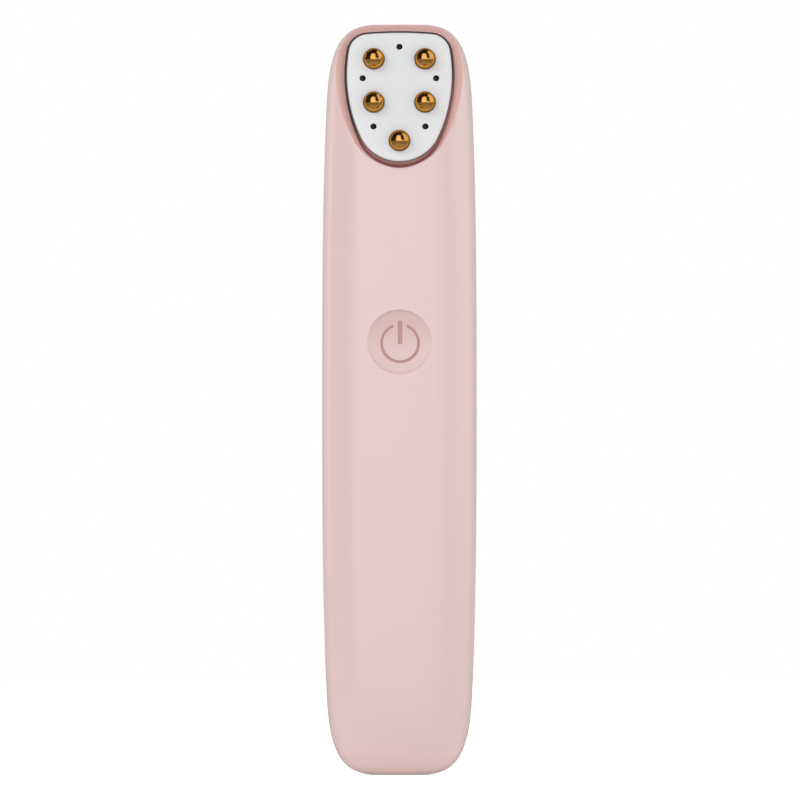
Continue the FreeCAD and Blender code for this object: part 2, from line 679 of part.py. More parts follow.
def massage_bead(index, x, u):
    """A gold bead: a ball that sits on the plate, on a stem through the head board."""
    body = new_body(f"MassageBead{index}")
    sketch = new_sketch(body, f"BeadProfile{index}", "XZ_Plane")
    ball, lift = size("bead_radius"), size("bead_lift")
    foot = math.sqrt(ball ** 2 - lift ** 2)
    stem = size("bead_stem_radius")
    rise = size("plate_rise")
    tail = -size("seat_thickness") - size("bead_tail")
    middle = Vector(0, rise + lift, 0)
    start = math.atan2(-lift, foot)
    arc = Part.ArcOfCircle(Part.Circle(middle, Vector(0, 0, 1), ball), start, math.pi / 2)
    corners = [
        Vector(0, rise + lift + ball, 0),
        Vector(0, tail, 0),
        Vector(stem, tail, 0),
        Vector(stem, rise, 0),
        Vector(foot, rise, 0),
    ]
    sketch.addGeometry(arc, False)
    for first, second in zip(corners, corners[1:]):
        sketch.addGeometry(Part.LineSegment(first, second), False)
    for geo in range(4):
        sketch.addConstraint(Sketcher.Constraint("Coincident", geo, 2, geo + 1, 1))
    sketch.addConstraint(Sketcher.Constraint("Coincident", 4, 2, 0, 1))
    sketch.addConstraint(Sketcher.Constraint("PointOnObject", 0, 3, -2))
    limit(sketch, "Radius", "bead_radius", 0, start=ball)
    limit(sketch, "DistanceY", "plate_rise + bead_lift", -1, 1, 0, 3, start=rise + lift)
    sketch.addConstraint(Sketcher.Constraint("PointOnObject", 0, 2, -2))
    sketch.addConstraint(Sketcher.Constraint("Vertical", 1))
    sketch.addConstraint(Sketcher.Constraint("Horizontal", 2))
    sketch.addConstraint(Sketcher.Constraint("Vertical", 3))
    sketch.addConstraint(Sketcher.Constraint("Horizontal", 4))
    limit(sketch, "DistanceX", "bead_stem_radius", -1, 1, 3, 1, start=stem)
    limit(sketch, "DistanceY", "plate_rise", -1, 1, 4, 1, start=rise)
    limit(sketch, "DistanceY", "-seat_thickness - bead_tail", -1, 1, 2, 1, start=tail)
    revolve(body, sketch)
    return subpart(on_face(body, x, u), f"massage_bead_{index}")


def led_light(index, x, u):
    """A light-emitting chip on the head board and the light pipe over it."""
    chip = new_body(f"LedChip{index}")
    outline = rectangle(chip, f"LedOutline{index}", "led_side", "led_side", lift=BOARD_FRONT)
    pad(chip, outline, "led_height")
    subpart(on_face(chip, x, u), f"led_chip_{index}")
    pipe = new_body(f"LedLens{index}")
    foot = f"{BOARD_FRONT} + led_height"
    circle = circles(pipe, f"LensOutline{index}", [("0", "0")], "lens_radius", foot)
    pad(pipe, circle, f"plate_rise - lens_sink - ({foot})")
    subpart(on_face(pipe, x, u), f"led_lens_{index}")


def head_seal():
    """The gasket between the ring's rim and the seat."""
    body = new_body("HeadSeal")
    pad(body, shield(body, "SealOutline", "ring_rim - window_gap"), "seal_thickness")
    pocket(body, shield(body, "SealOpening", "ring_skirt + window_gap"))
    return subpart(on_face(body), "head_seal")


def head_carrier():
    """The frame behind the head board, with an ear for its screw."""
    body = new_body("HeadCarrier")
    outline = shield(body, "CarrierOutline", "carrier_margin", CARRIER_BACK)
    pad(body, outline, "carrier_thickness")
    reach = "-ear_u - shield_bottom_drop"
    neck = rectangle(body, "CarrierNeck", "ear_radius * 2", reach,
                     y=f"ear_u + ({reach}) / 2", lift=CARRIER_BACK)
    pad(body, neck, "ear_thickness")
    ear = circles(body, "CarrierEar", [("0", "ear_u")], "ear_radius", CARRIER_BACK)
    pad(body, ear, "ear_thickness")
    pocket(body, shield(body, "CarrierOpening", "-carrier_opening"))
    hole = circles(body, "CarrierHole", [("0", "ear_u")], "head_screw_radius + screw_slack")
    pocket(body, hole)
    return subpart(on_face(body), "head_carrier")


def head_screw():
    """The screw that holds the carrier to the front shell."""
    body = new_body("HeadScrew")
    cap = circles(body, "HeadScrewCap", [("0", "0")], "head_screw_radius * 1.9",
                  f"{CARRIER_BACK} - head_screw_radius")
    pad(body, cap, "head_screw_radius")
    shank = circles(body, "HeadScrewShank", [("0", "0")], "head_screw_radius", CARRIER_BACK)
    pad(body, shank, "ear_thickness + head_screw_bite")
    return subpart(on_face(body, "0", "ear_u"), "head_screw")


# ---------------------------------------------------------------- the shells

BUTTON_Z = "body_length - button_from_top"
FRONT_LINE = "-body_depth / 2"
BOARD_FACE = "-board_back - board_thickness"
SIDES = (("Left", -1), ("Right", 1))
SCREWS = [
    ("-screw_x", "screw_low_z"),
    ("screw_x", "screw_low_z"),
    ("-screw_x", "screw_high_z"),
    ("screw_x", "screw_high_z"),
]


def wall_x(z, y, inset):
    """Half width of the body, or of a surface inside it, at a height and depth."""
    width, depth = half_sizes(z, inset)
    power = size("section_power")
    return width * (1 - (abs(y) / depth) ** power) ** (1 / power)


def wall_y(z, x, inset):
    """Half depth of the body, or of a surface inside it, at a height and width."""
    width, depth = half_sizes(z, inset)
    power = size("section_power")
    return depth * (1 - (abs(x) / width) ** power) ** (1 / power)


def clip_blocks(name, inner, outer, low, high, width):
    """Blocks for the four clips: from inner to outer off the wall, between two depths."""
    blocks = []
    for z in ("clip_low_z", "clip_high_z"):
        wall = wall_x(size(z), size("seam_y"), size("wall"))
        for label, side in SIDES:
            block = box(f"{name}{label}", f"({outer}) - ({inner})", f"({high}) - ({low})", width)
            left = f"{wall} + ({inner})" if side > 0 else f"-{wall} - ({outer})"
            blocks.append(put(block, left, low, f"{z} - ({width}) / 2"))
    return blocks


def flared_recess():
    """The recess round the head: the ring's outline, wider towards the front."""
    body = new_body("Recess")
    floor = shield(body, "RecessFloor", "ring_rim + recess_gap")
    mouth = shield(body, "RecessMouth", "ring_rim + recess_gap + wall * 6 * tan(recess_flare)",
                   "wall * 6")
    loft = body.newObject("PartDesign::AdditiveLoft", "RecessLoft")
    loft.Profile = floor
    loft.Sections = [mouth]
    loft.Ruled = True
    return on_face(body)


def head_window():
    """The opening through the seat for the ring's skirt."""
    body = new_body("Window")
    outline = shield(body, "WindowOutline", "ring_skirt + window_gap", "-seat_thickness * 2")
    pad(body, outline, "seat_thickness * 3")
    return on_face(body)


def port_slot(shell):
    """The slot for the charging socket through the flat end."""
    body = new_body(f"{shell}PortSlot")
    slot = stadium(body, f"{shell}SlotOutline", "port_width + port_gap * 2", "port_height + port_gap * 2",
                   "-wall")
    pad(body, slot, "wall * 4")
    return body


def front_features():
    """The front shell's bosses and hooks, each rooted half way through the wall."""
    pieces = []
    root = size("wall") / 2
    for index, (x, z) in enumerate(SCREWS):
        side, height = size("screw_x") + size("boss_radius"), size(z)
        boss = rod(f"Boss{index}", "boss_radius",
                   f"{wall_y(height, side, root)} - board_back - board_thickness")
        pieces.append(put(boss, x, BOARD_FACE, z, ALONG_FRONT))
    ear = rod("EarBoss", "ear_radius", f"-({EAR_FRONT}) - seat_thickness / 2")
    pieces.append(on_face(ear, "0", "ear_u", EAR_FRONT))
    edge = widest_plate() + size("carrier_margin") + size("hook_gap")
    depth = "carrier_thickness + hook_gap / 2 + hook_thickness"
    for label, side in SIDES:
        post = box(f"HookPost{label}", "wall", "hook_length", depth)
        left = edge if side > 0 else -edge - size("wall")
        pieces.append(on_face(post, left, "hook_u", f"{SEAT_BACK} - ({depth})"))
        nub = box(f"HookNub{label}", "hook_thickness + hook_gap", "hook_length", "hook_thickness")
        left = edge - size("hook_thickness") if side > 0 else -edge - size("hook_gap")
        pieces.append(on_face(nub, left, "hook_u", f"{SEAT_BACK} - ({depth})"))
    return pieces


def widest_plate():
    """Half width of the plate where its sides stand furthest out."""
    side = shield_arcs()[1]
    return side[0] + side[2]


def front_shell(outer, inner):
    """The front cover, with the seat for the head, the button's hole and the bosses."""
    face_block = box("FaceBlock", "body_width * 2", "body_length", "body_depth * 2")
    on_face(face_block, "-body_width", "-body_length / 2", SEAT_BACK)
    cavity = cut("FrontCavity", inner, face_block)
    wall = common("FrontWall", cut("FrontSolid", outer, cavity),
                  slab("FrontHalf", "-body_depth", "seam_y"))
    filled = fuse("FrontFilled", wall, *front_features())
    rabbet = common("Rabbet", solid("RabbetHull", hull(rabbet_inset())),
                    slab("RabbetSlab", "seam_y - lip_height - lip_gap", "seam_y + 1"))
    reveal = common("Reveal", hull_band("RevealBand", -size("wall"), size("reveal_depth")),
                    slab("RevealSlab", "seam_y - reveal_width", "seam_y + 1"))
    head = fuse("HeadRoom", flared_recess(), head_window())
    hole = rod("ButtonHole", "button_radius + button_gap", "body_depth / 2")
    put(hole, "0", "-body_depth / 2", BUTTON_Z, ALONG_Y)
    seat = rod("FlangeSeat", "flange_radius + button_gap * 6", "body_depth / 4")
    put(seat, "0", f"{FRONT_LINE} + flange_seat", BUTTON_Z, ALONG_Y)
    button = fuse("ButtonRoom", hole, seat)
    pilots = []
    for index, (x, z) in enumerate(SCREWS):
        pilot = rod(f"Pilot{index}", "screw_radius", "screw_bite + screw_slack")
        pilots.append(put(pilot, x, BOARD_FACE, z, ALONG_FRONT))
    ear_pilot = rod("EarPilot", "head_screw_radius", "head_screw_bite + screw_slack")
    pilots.append(on_face(ear_pilot, "0", "ear_u", EAR_FRONT))
    grooves = clip_blocks("Groove", "-clip_gap", "clip_catch + clip_gap",
                          "seam_y - clip_reach + clip_catch - clip_gap",
                          "seam_y - clip_reach + clip_catch * 2.5 + clip_gap",
                          "clip_width + clip_gap * 2")
    holes = group("SmallHoles", *pilots, *grooves)
    shell = cut("FrontShell", filled, rabbet, reveal, head, button, port_slot("Front"), holes)
    return subpart(shell, "front_shell")


def rabbet_inset():
    """Inset of the step in the front shell that takes the lip."""
    return size("wall") - size("lip_thickness") - size("lip_gap")


def rear_shell():
    """The rear cover, with its lip and its four clips."""
    outer = solid("RearOuter", hull(start=AT_FRONT))
    inner = solid("RearInner", hull(size("wall"), AT_FRONT))
    half = common("RearHalf", outer, slab("RearSlab", "seam_y - lip_height", "body_depth"))
    band = hull_band("LipBand", -size("wall"), rabbet_inset() + size("lip_gap"), AT_FRONT)
    step = common("LipStep", band, slab("LipSlab", "seam_y - lip_height * 2", "seam_y"))
    lipped = cut("RearWall", half, step, inner)
    arms = clip_blocks("Arm", "-clip_gap - clip_thickness", "-clip_gap",
                       "seam_y - clip_reach", "seam_y + clip_thickness * 2", "clip_width")
    roots = clip_blocks("Root", "-clip_gap - clip_thickness", "wall / 2",
                        "seam_y + lip_gap", "seam_y + clip_thickness * 2", "clip_width")
    nubs = clip_blocks("Nub", "-clip_gap - clip_thickness / 2", "clip_catch",
                       "seam_y - clip_reach + clip_catch",
                       "seam_y - clip_reach + clip_catch * 2.5", "clip_width")
    joined = fuse("RearJoined", lipped, fuse("Clips", *arms, *roots, *nubs))
    return subpart(cut("RearShell", joined, port_slot("Rear")), "rear_shell")


# ---------------------------------------------------------------- the button and its switch

def power_button(outer):
    """The button: a dished cap with the power mark, a flange and a stem."""
    rim = size("button_rim") - size("body_depth") / 2
    dish = size("button_dish")
    ball = (size("button_radius") ** 2 + dish ** 2) / (2 * dish)
    middle = Vector(0, rim + dish - ball, size("body_length") - size("button_from_top"))
    cap = rod("ButtonCap", "button_radius", "body_depth / 2")
    put(cap, "0", FRONT_LINE, BUTTON_Z, ALONG_Y)
    cap = common("ButtonBlank", cap, outer)
    behind = f"{FRONT_LINE} + flange_seat + flange_gap + flange_thickness"
    tail = box("ButtonTail", "body_width", "body_depth", "body_width")
    put(tail, "-body_width / 2", behind, f"{BUTTON_Z} - body_width / 2")
    hollow = rod("ButtonHollow", "button_radius - button_skin", "body_depth / 2")
    put(hollow, "0", f"{FRONT_LINE} + button_rim + button_dish + button_skin", BUTTON_Z, ALONG_Y)
    dish_ball = solid("ButtonDish", Part.makeSphere(ball, middle))
    flange = rod("ButtonFlange", "flange_radius", "flange_thickness")
    put(flange, "0", f"{FRONT_LINE} + flange_seat + flange_gap", BUTTON_Z, ALONG_Y)
    shell = cut("ButtonShell", fuse("ButtonSolid", cap, flange), tail, hollow, dish_ball)
    root = size("body_depth") / 2 - size("button_rim") - dish - size("button_skin") / 2
    plunger_top = size("board_back") + size("board_thickness") + size("switch_height")
    plunger_top += size("plunger_rise") + size("stem_gap")
    stem = rod("ButtonStem", "stem_radius", f"{root - plunger_top}")
    put(stem, "0", f"{-root}", BUTTON_Z, ALONG_Y)
    engraving = common("Engraving", solid("MarkBall", Part.makeSphere(ball + size("mark_depth"),
                                                                     middle)), power_mark())
    joined = fuse("ButtonJoined", shell, stem)
    return subpart(cut("PowerButton", joined, engraving), "power_button")


def power_mark():
    """The generic power mark as a thick plate: an open ring and a bar."""
    ring = new_body("MarkRing")
    pad(ring, circles(ring, "MarkOuter", [("0", "0")], "mark_radius"), "body_depth")
    pocket(ring, circles(ring, "MarkInner", [("0", "0")], "mark_radius - mark_width"))
    pocket(ring, rectangle(ring, "MarkGap", "mark_opening", "mark_radius", y="mark_radius"))
    bar = new_body("MarkBar")
    pad(bar, rectangle(bar, "MarkBarOutline", "mark_bar_width", "mark_bar_top",
                       y="mark_bar_top / 2"), "body_depth")
    for piece in (ring, bar):
        put(piece, "0", "0", f"{BUTTON_Z} - mark_drop", ALONG_FRONT)
    return fuse("PowerMark", ring, bar)


def tact_switch():
    """The switch on the main board: its body and its plunger."""
    body = new_body("SwitchBody")
    pad(body, rectangle(body, "SwitchOutline", "switch_side", "switch_side"), "switch_height")
    room = "plunger_foot + button_travel + plunger_gap"
    well = circles(body, "SwitchWell", [("0", "0")], "plunger_radius + plunger_gap",
                   "switch_height")
    pocket(body, well, room)
    put(body, "0", BOARD_FACE, BUTTON_Z, ALONG_FRONT)
    subpart(body, "switch_body")
    plunger = new_body("SwitchPlunger")
    disc = circles(plunger, "PlungerOutline", [("0", "0")], "plunger_radius",
                   "switch_height - plunger_foot")
    pad(plunger, disc, "plunger_foot + plunger_rise")
    put(plunger, "0", BOARD_FACE, BUTTON_Z, ALONG_FRONT)
    subpart(plunger, "switch_plunger")


# ---------------------------------------------------------------- electronics and frame

def main_board():
    """The main circuit board, with the lower corners cut off and holes for the screws."""
    body = new_body("MainBoard")
    half = "board_width / 2"
    corners = [
        (f"{half} - board_corner", "board_low_z"),
        (half, "board_low_z + board_corner"),
        (half, "board_high_z"),
        (f"-{half}", "board_high_z"),
        (f"-{half}", "board_low_z + board_corner"),
        (f"-{half} + board_corner", "board_low_z"),
    ]
    outline = polygon(body, "BoardOutline", corners)
    pad(body, outline, "board_thickness")
    pocket(body, circles(body, "BoardHoles", SCREWS, "screw_radius + screw_slack"))
    put(body, "0", "-board_back", "0", ALONG_FRONT)
    return subpart(body, "main_board")


def board_part(label, width, length, height, x, z):
    """A block-shaped component soldered to the board's front."""
    name = "".join(word.capitalize() for word in label.split("_"))
    body = new_body(name)
    sketch = rectangle(body, f"{name}Outline", width, length)
    block = pad(body, sketch, height)
    dress(body, "Chamfer", block, lambda edge: edge.BoundBox.ZMin > block.Length.Value - 0.01,
          Size=f"({height}) / 8")
    return subpart(put(body, x, BOARD_FACE, z, ALONG_FRONT), label)


def charging_socket():
    """The charging socket: metal shell, insulator with its tongue, and a gasket."""
    shell = new_body("SocketShell")
    outer = stadium(shell, "SocketOuter", "port_width", "port_height", "port_sink")
    pad(shell, outer, "port_length")
    inner = stadium(shell, "SocketInner", "port_width - port_wall * 2",
                    "port_height - port_wall * 2", "port_sink")
    pocket(shell, inner)
    subpart(shell, "socket_shell")
    tongue = new_body("SocketTongue")
    base = stadium(tongue, "TongueBase", "port_width - port_wall * 2",
                   "port_height - port_wall * 2", "port_sink + port_length - tongue_base")
    pad(tongue, base, "tongue_base")
    blade = rectangle(tongue, "TongueBlade", "tongue_width", "tongue_thickness",
                      lift="port_sink + tongue_sink")
    pad(tongue, blade, "port_length - tongue_sink - tongue_base / 2")
    subpart(tongue, "socket_tongue")
    seal = new_body("SocketSeal")
    lift = "wall + port_wall"
    grown = "seal_width * 2"
    outline = stadium(seal, "SocketSealOuter", f"port_width + {grown}", f"port_height + {grown}", lift)
    pad(seal, outline, "seal_length")
    pocket(seal, stadium(seal, "SocketSealInner", "port_width", "port_height", lift))
    subpart(seal, "socket_seal")


CELL_Y = "-board_back + cell_gap + cell_radius"


def inner_frame():
    """The frame behind the board: two rails, end plates and ribs that cradle cell and motor."""
    depth = "rail_back + board_back"
    height = "frame_high_z - frame_low_z"
    pieces = []
    for side, left in (("L", "-rail_gap - rail_thickness"), ("R", "rail_gap")):
        rail = box(f"Rail{side}", "rail_thickness", depth, height)
        pieces.append(put(rail, left, "-board_back", "frame_low_z"))
    for index, z in enumerate(("screw_low_z", "screw_high_z")):
        plate = box(f"EndPlate{index}", "rail_gap * 2", "frame_plate", "end_plate_length")
        pieces.append(put(plate, "-rail_gap", "-board_back", f"{z} - end_plate_length / 2"))
    cell_top = "cell_low_z + cell_length"
    motor_mid = "motor_low_z + motor_length / 2"
    ribs = [
        "cell_low_z + rib_thickness",
        "cell_low_z + cell_length / 2",
        f"{cell_top} - rib_thickness * 2",
        f"{motor_mid} - boot_length / 2 + rib_thickness",
        f"{motor_mid} + boot_length / 2 - rib_thickness * 2",
    ]
    for index, z in enumerate(ribs):
        rib = box(f"Rib{index}", "rail_gap * 2", depth, "rib_thickness")
        pieces.append(put(rib, "-rail_gap", "-board_back", z))
    stop = box("CellStop", "rail_gap * 2", depth, "rib_thickness")
    pieces.append(put(stop, "-rail_gap", "-board_back", "cell_low_z - rib_thickness - cell_gap"))
    cell_room = rod("CellRoom", "cell_radius + cell_gap", "cell_length + cell_gap * 2")
    put(cell_room, "0", CELL_Y, "cell_low_z - cell_gap")
    motor_room = rod("MotorRoom", "motor_radius + boot_thickness + boot_gap * 2",
                     "motor_length * 2")
    put(motor_room, "0", "motor_y", "motor_low_z - boot_gap")
    slot = box("CellSlot", "cell_slot", "cell_radius", "cell_length + cell_gap * 2")
    put(slot, "-cell_slot / 2", "-board_back - cell_gap", "cell_low_z - cell_gap")
    tools = [cell_room, slot, motor_room]
    for index, (x, z) in enumerate(SCREWS):
        hole = rod(f"FrameHole{index}", "screw_radius + screw_slack", "frame_plate * 2")
        tools.append(put(hole, x, "-board_back - frame_plate / 2", z, ALONG_Y))
        head = rod(f"HeadRoom{index}", "screw_head_radius + screw_slack", "rail_back")
        tools.append(put(head, x, "-board_back + frame_plate", z, ALONG_Y))
    return subpart(cut("InnerFrame", fuse("FrameJoined", *pieces), *tools), "inner_frame")


def frame_screws():
    """The four screws through frame and board into the front shell."""
    screws = []
    for index, (x, z) in enumerate(SCREWS):
        cap = rod(f"ScrewHead{index}", "screw_head_radius", "screw_head_height")
        put(cap, x, "-board_back + frame_plate", z, ALONG_Y)
        shank = rod(f"ScrewShank{index}", "screw_radius",
                    "frame_plate + board_thickness + screw_bite")
        put(shank, x, f"{BOARD_FACE} - screw_bite", z, ALONG_Y)
        drive = box(f"ScrewDrive{index}", "screw_head_radius * 1.2", "screw_head_height / 2",
                    "screw_radius / 2")
        put(drive, f"({x}) - screw_head_radius * 0.6",
            "-board_back + frame_plate + screw_head_height / 2", f"{z} - screw_radius / 4")
        screws.append(cut(f"Screw{index}", fuse(f"ScrewBlank{index}", cap, shank), drive))
    return subpart(fuse("FrameScrews", *screws), "frame_screws")


def battery():
    """The cylindrical cell, its protection board and the foam pad behind it."""
    cell = new_body("BatteryCell")
    can = pad(cell, circles(cell, "CellOutline", [("0", "0")], "cell_radius"), "cell_length")
    dress(cell, "Fillet", can, lambda edge: edge.Curve.TypeId == "Part::GeomCircle",
          Radius="cell_radius / 10")
    subpart(put(cell, "0", CELL_Y, "cell_low_z"), "battery_cell")
    board = new_body("CellBoard")
    disc = circles(board, "CellBoardOutline", [("0", "0")], "cell_radius - cell_gap * 4")
    pad(board, disc, "cell_board_thickness")
    subpart(put(board, "0", CELL_Y, "cell_low_z + cell_length"), "cell_board")
    foam = new_body("CellPad")
    sheet_ = rectangle(foam, "PadOutline", "pad_width", "pad_length")
    pad(foam, sheet_, "pad_thickness")
    back = f"{CELL_Y} + cell_radius + flex_gap"
    put(foam, "0", back, "cell_low_z + cell_length / 2", ALONG_Y)
    subpart(foam, "cell_pad")


def motor():
    """The vibration motor: can, shaft, eccentric weight and rubber boot."""
    can = new_body("MotorCan")
    tube = pad(can, circles(can, "CanOutline", [("0", "0")], "motor_radius"), "motor_length")
    dress(can, "Fillet", tube, lambda edge: edge.Curve.TypeId == "Part::GeomCircle",
          Radius="motor_radius / 10")
    neck = circles(can, "CanBoss", [("0", "0")], "shaft_radius * 3", "motor_length")
    pad(can, neck, "motor_boss")
    bore = circles(can, "CanBore", [("0", "0")], "shaft_radius + shaft_gap",
                   "motor_length + motor_boss")
    pocket(can, bore, "motor_boss + shaft_radius * 4")
    subpart(put(can, "0", "motor_y", "motor_low_z"), "motor_can")
    shaft = new_body("MotorShaft")
    foot = "motor_length + motor_boss - shaft_radius * 2"
    pad(shaft, circles(shaft, "ShaftOutline", [("0", "0")], "shaft_radius", foot),
        "shaft_radius * 2 + shaft_reach")
    subpart(put(shaft, "0", "motor_y", "motor_low_z"), "motor_shaft")
    weight = new_body("MotorWeight")
    lift = "motor_length + motor_boss + shaft_reach - weight_length"
    pad(weight, circles(weight, "WeightOutline", [("0", "0")], "weight_radius", lift),
        "weight_length")
    half = rectangle(weight, "WeightHalf", "weight_radius * 3", "weight_radius * 2",
                     y="weight_radius + shaft_radius * 2", lift=lift)
    pocket(weight, half)
    pocket(weight, circles(weight, "WeightBore", [("0", "0")], "shaft_radius", lift))
    subpart(put(weight, "0", "motor_y", "motor_low_z"), "motor_weight")
    boot = new_body("MotorBoot")
    foot = "(motor_length - boot_length) / 2"
    outer = circles(boot, "BootOuter", [("0", "0")], "motor_radius + boot_gap + boot_thickness",
                    foot)
    pad(boot, outer, "boot_length")
    pocket(boot, circles(boot, "BootInner", [("0", "0")], "motor_radius + boot_gap", foot))
    subpart(put(boot, "0", "motor_y", "motor_low_z"), "motor_boot")


# ---------------------------------------------------------------- leads

BEND_SHARE = 0.45        # how much of the shorter run beside it a bend takes up


def route(points, name):
    """A wire of straight runs joined by tangent arcs as large as the runs allow."""
    edges = []
    start = points[0]
    radii = []
    for before, here, after in zip(points, points[1:], points[2:]):
        back, ahead = before - here, after - here
        turn = math.pi - back.getAngle(ahead)
        reach = BEND_SHARE * min(back.Length, ahead.Length)
        radii.append(reach / math.tan(turn / 2))
        back.normalize()
        ahead.normalize()
        first, last = here + back * reach, here + ahead * reach
        inward = back + ahead
        inward.normalize()
        middle = here + inward * (radii[-1] / math.cos(turn / 2) - radii[-1])
        edges.append(Part.LineSegment(start, first).toShape())
        edges.append(Part.Arc(first, middle, last).toShape())
        start = last
    edges.append(Part.LineSegment(start, points[-1]).toShape())
    print(name, "bend radii", [round(radius, 2) for radius in radii])
    return Part.Wire(edges)


def swept(name, points, profile, area):
    """A profile swept along a route, with its volume held against area times length."""
    path = route(points, name)
    shape = path.makePipeShell([profile], True, False)
    if abs(shape.Volume / (area * path.Length) - 1) > 0.02:
        raise RuntimeError(f"{name} has the wrong volume")
    return solid(name, shape)


def round_profile(point, along):
    """A lead's cross-section at its start."""
    return Part.Wire([Part.makeCircle(size("lead_radius"), point, along)])


def leads():
    """The battery's and the motor's leads, from their ends to the back of the board."""
    area = math.pi * size("lead_radius") ** 2
    landing = -size("board_back")
    cell_y = landing + size("cell_gap") + size("cell_radius")
    cell_top = size("cell_low_z") + size("cell_length") + size("cell_board_thickness")
    turn = cell_top + size("cell_lead_turn")
    for side, label in ((-1, "battery_lead_black"), (1, "battery_lead_red")):
        x = side * size("cell_lead_x")
        points = [Vector(x, cell_y, cell_top), Vector(x, cell_y, turn), Vector(x, landing, turn)]
        profile = round_profile(points[0], Vector(0, 0, 1))
        subpart(swept(f"CellLead{side}", points, profile, area), label)
    start, motor_y = size("motor_low_z"), size("motor_y")
    turn = start - size("motor_lead_turn")
    for side, label in ((-1, "motor_lead_black"), (1, "motor_lead_red")):
        x = side * size("motor_lead_x")
        points = [Vector(x, motor_y, start), Vector(x, motor_y, turn), Vector(x, landing, turn)]
        profile = round_profile(points[0], Vector(0, 0, -1))
        subpart(swept(f"MotorLead{side}", points, profile, area), label)


def head_flex():
    """The ribbon cable from the back of the head board to its connector."""
    thin, wide = size("flex_thickness"), size("flex_width")
    lift = -size("seat_thickness") - size("flex_gap") - thin / 2
    back = -size("seat_thickness") - size("carrier_thickness") - size("head_screw_radius") * 2
    board = -size("board_back") - size("board_thickness") - size("plug_height") / 2
    plug_top = size("plug_low_z") + size("plug_length")
    points = [
        face_point(0, -size("flex_start_drop"), lift),
        face_point(0, -size("flex_leave_drop"), lift),
        face_point(0, -size("flex_level_drop"), back),
        face_point(0, -size("flex_turn_drop"), back),
        Vector(0, board, plug_top + size("flex_straight")),
        Vector(0, board, plug_top),
    ]
    along = points[1] - points[0]
    along.normalize()
    across = Vector(1, 0, 0)
    out = along.cross(across)
    corners = []
    for x, y in ((-1, -1), (1, -1), (1, 1), (-1, 1), (-1, -1)):
        corners.append(points[0] + across * (x * wide / 2) + out * (y * thin / 2))
    profile = Part.makePolygon(corners)
    subpart(swept("HeadFlex", points, profile, thin * wide), "head_flex")
    board_part("flex_socket", "plug_width", "plug_length", "plug_height", "0",
               "plug_low_z + plug_length / 2")


# ---------------------------------------------------------------- build and write

def build():
    """Make every piece."""
    fill_sheet()
    outer = solid("OuterHull", hull())
    inner = solid("InnerHull", hull(size("wall")))
    front_shell(outer, inner)
    rear_shell()
    head_ring()
    head_seal()
    treatment_plate()
    head_layers()
    for index, (x, u) in enumerate(BEADS, start=1):
        massage_bead(index, x, u)
    for index, (x, u) in enumerate(LENSES, start=1):
        led_light(index, x, u)
    head_carrier()
    head_screw()
    power_button(outer)
    tact_switch()
    main_board()
    board_part("control_chip", "control_side", "control_side", "control_height", "0", "control_z")
    board_part("charge_chip", "charge_side", "charge_side", "charge_height", "0", "charge_z")
    board_part("driver_chip", "driver_width", "driver_length", "driver_height", "driver_x", "driver_z")
    board_part("power_coil", "coil_side", "coil_side", "coil_height", "-coil_x", "coil_z")
    charging_socket()
    inner_frame()
    frame_screws()
    battery()
    motor()
    leads()
    head_flex()
    doc.recompute()


def check():
    """Stop if any object failed or any piece isn't a sound solid."""
    for item in doc.Objects:
        if "Invalid" in item.State or "Error" in item.State:
            raise RuntimeError(f"{item.Name} is {item.State}")
    for item in subparts:
        if item.Shape.isNull() or not item.Shape.isValid() or not item.Shape.Solids:
            raise RuntimeError(f"{item.Label} is not a sound solid")


def write():
    """Write one STEP file for each piece."""
    os.makedirs("parts", exist_ok=True)
    for item in subparts:
        item.Shape.exportStep(os.path.join("parts", f"{item.Label}.step"))
    print(len(subparts), "pieces written")


build()
check()
write()
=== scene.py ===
import json
import math

import bmesh
import bpy
import numpy as np
from bpy.props import FloatProperty, FloatVectorProperty, PointerProperty
from mathutils import Matrix, Vector


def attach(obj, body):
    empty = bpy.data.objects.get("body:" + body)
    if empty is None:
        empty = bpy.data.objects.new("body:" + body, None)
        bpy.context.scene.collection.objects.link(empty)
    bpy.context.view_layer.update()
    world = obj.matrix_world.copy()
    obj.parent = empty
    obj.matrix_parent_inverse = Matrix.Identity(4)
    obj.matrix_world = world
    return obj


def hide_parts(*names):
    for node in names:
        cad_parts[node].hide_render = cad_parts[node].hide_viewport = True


bl_info = {
    "name": "Heated Eye Massager Wand",
    "version": (1, 0, 0),
    "blender": (4, 5, 0),
    "location": "View3D > Sidebar > Massager Wand",
    "description": "Models the wand's visible pieces over its fixed frame and finishes them",
    "category": "Object",
}

# The frame: +Z up the wand, -Y towards the button and the treatment face, origin in the lower end.
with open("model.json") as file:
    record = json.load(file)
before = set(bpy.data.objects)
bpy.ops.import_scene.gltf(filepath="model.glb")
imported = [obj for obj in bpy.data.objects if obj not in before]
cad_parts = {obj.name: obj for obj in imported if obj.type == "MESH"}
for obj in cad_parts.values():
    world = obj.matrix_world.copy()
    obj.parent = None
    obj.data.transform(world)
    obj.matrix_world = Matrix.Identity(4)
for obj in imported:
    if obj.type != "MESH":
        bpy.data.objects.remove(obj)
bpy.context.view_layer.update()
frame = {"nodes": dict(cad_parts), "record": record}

MM = 0.001
OUT, BACK = (0, 0, 1), (0, 1, 0)

# How close points are merged: on any mesh, after a spin, on the clear ring and on a cut rim.
WELD, SPIN_WELD = 1e-7, 1e-6
RING_WELD, RIM_WELD = 5e-6, 0.03 * MM

# The sharpest edges still shaded smooth, in degrees: on most pieces and on the flat ones.
SOFT_ANGLE, FLAT_ANGLE = 38, 30

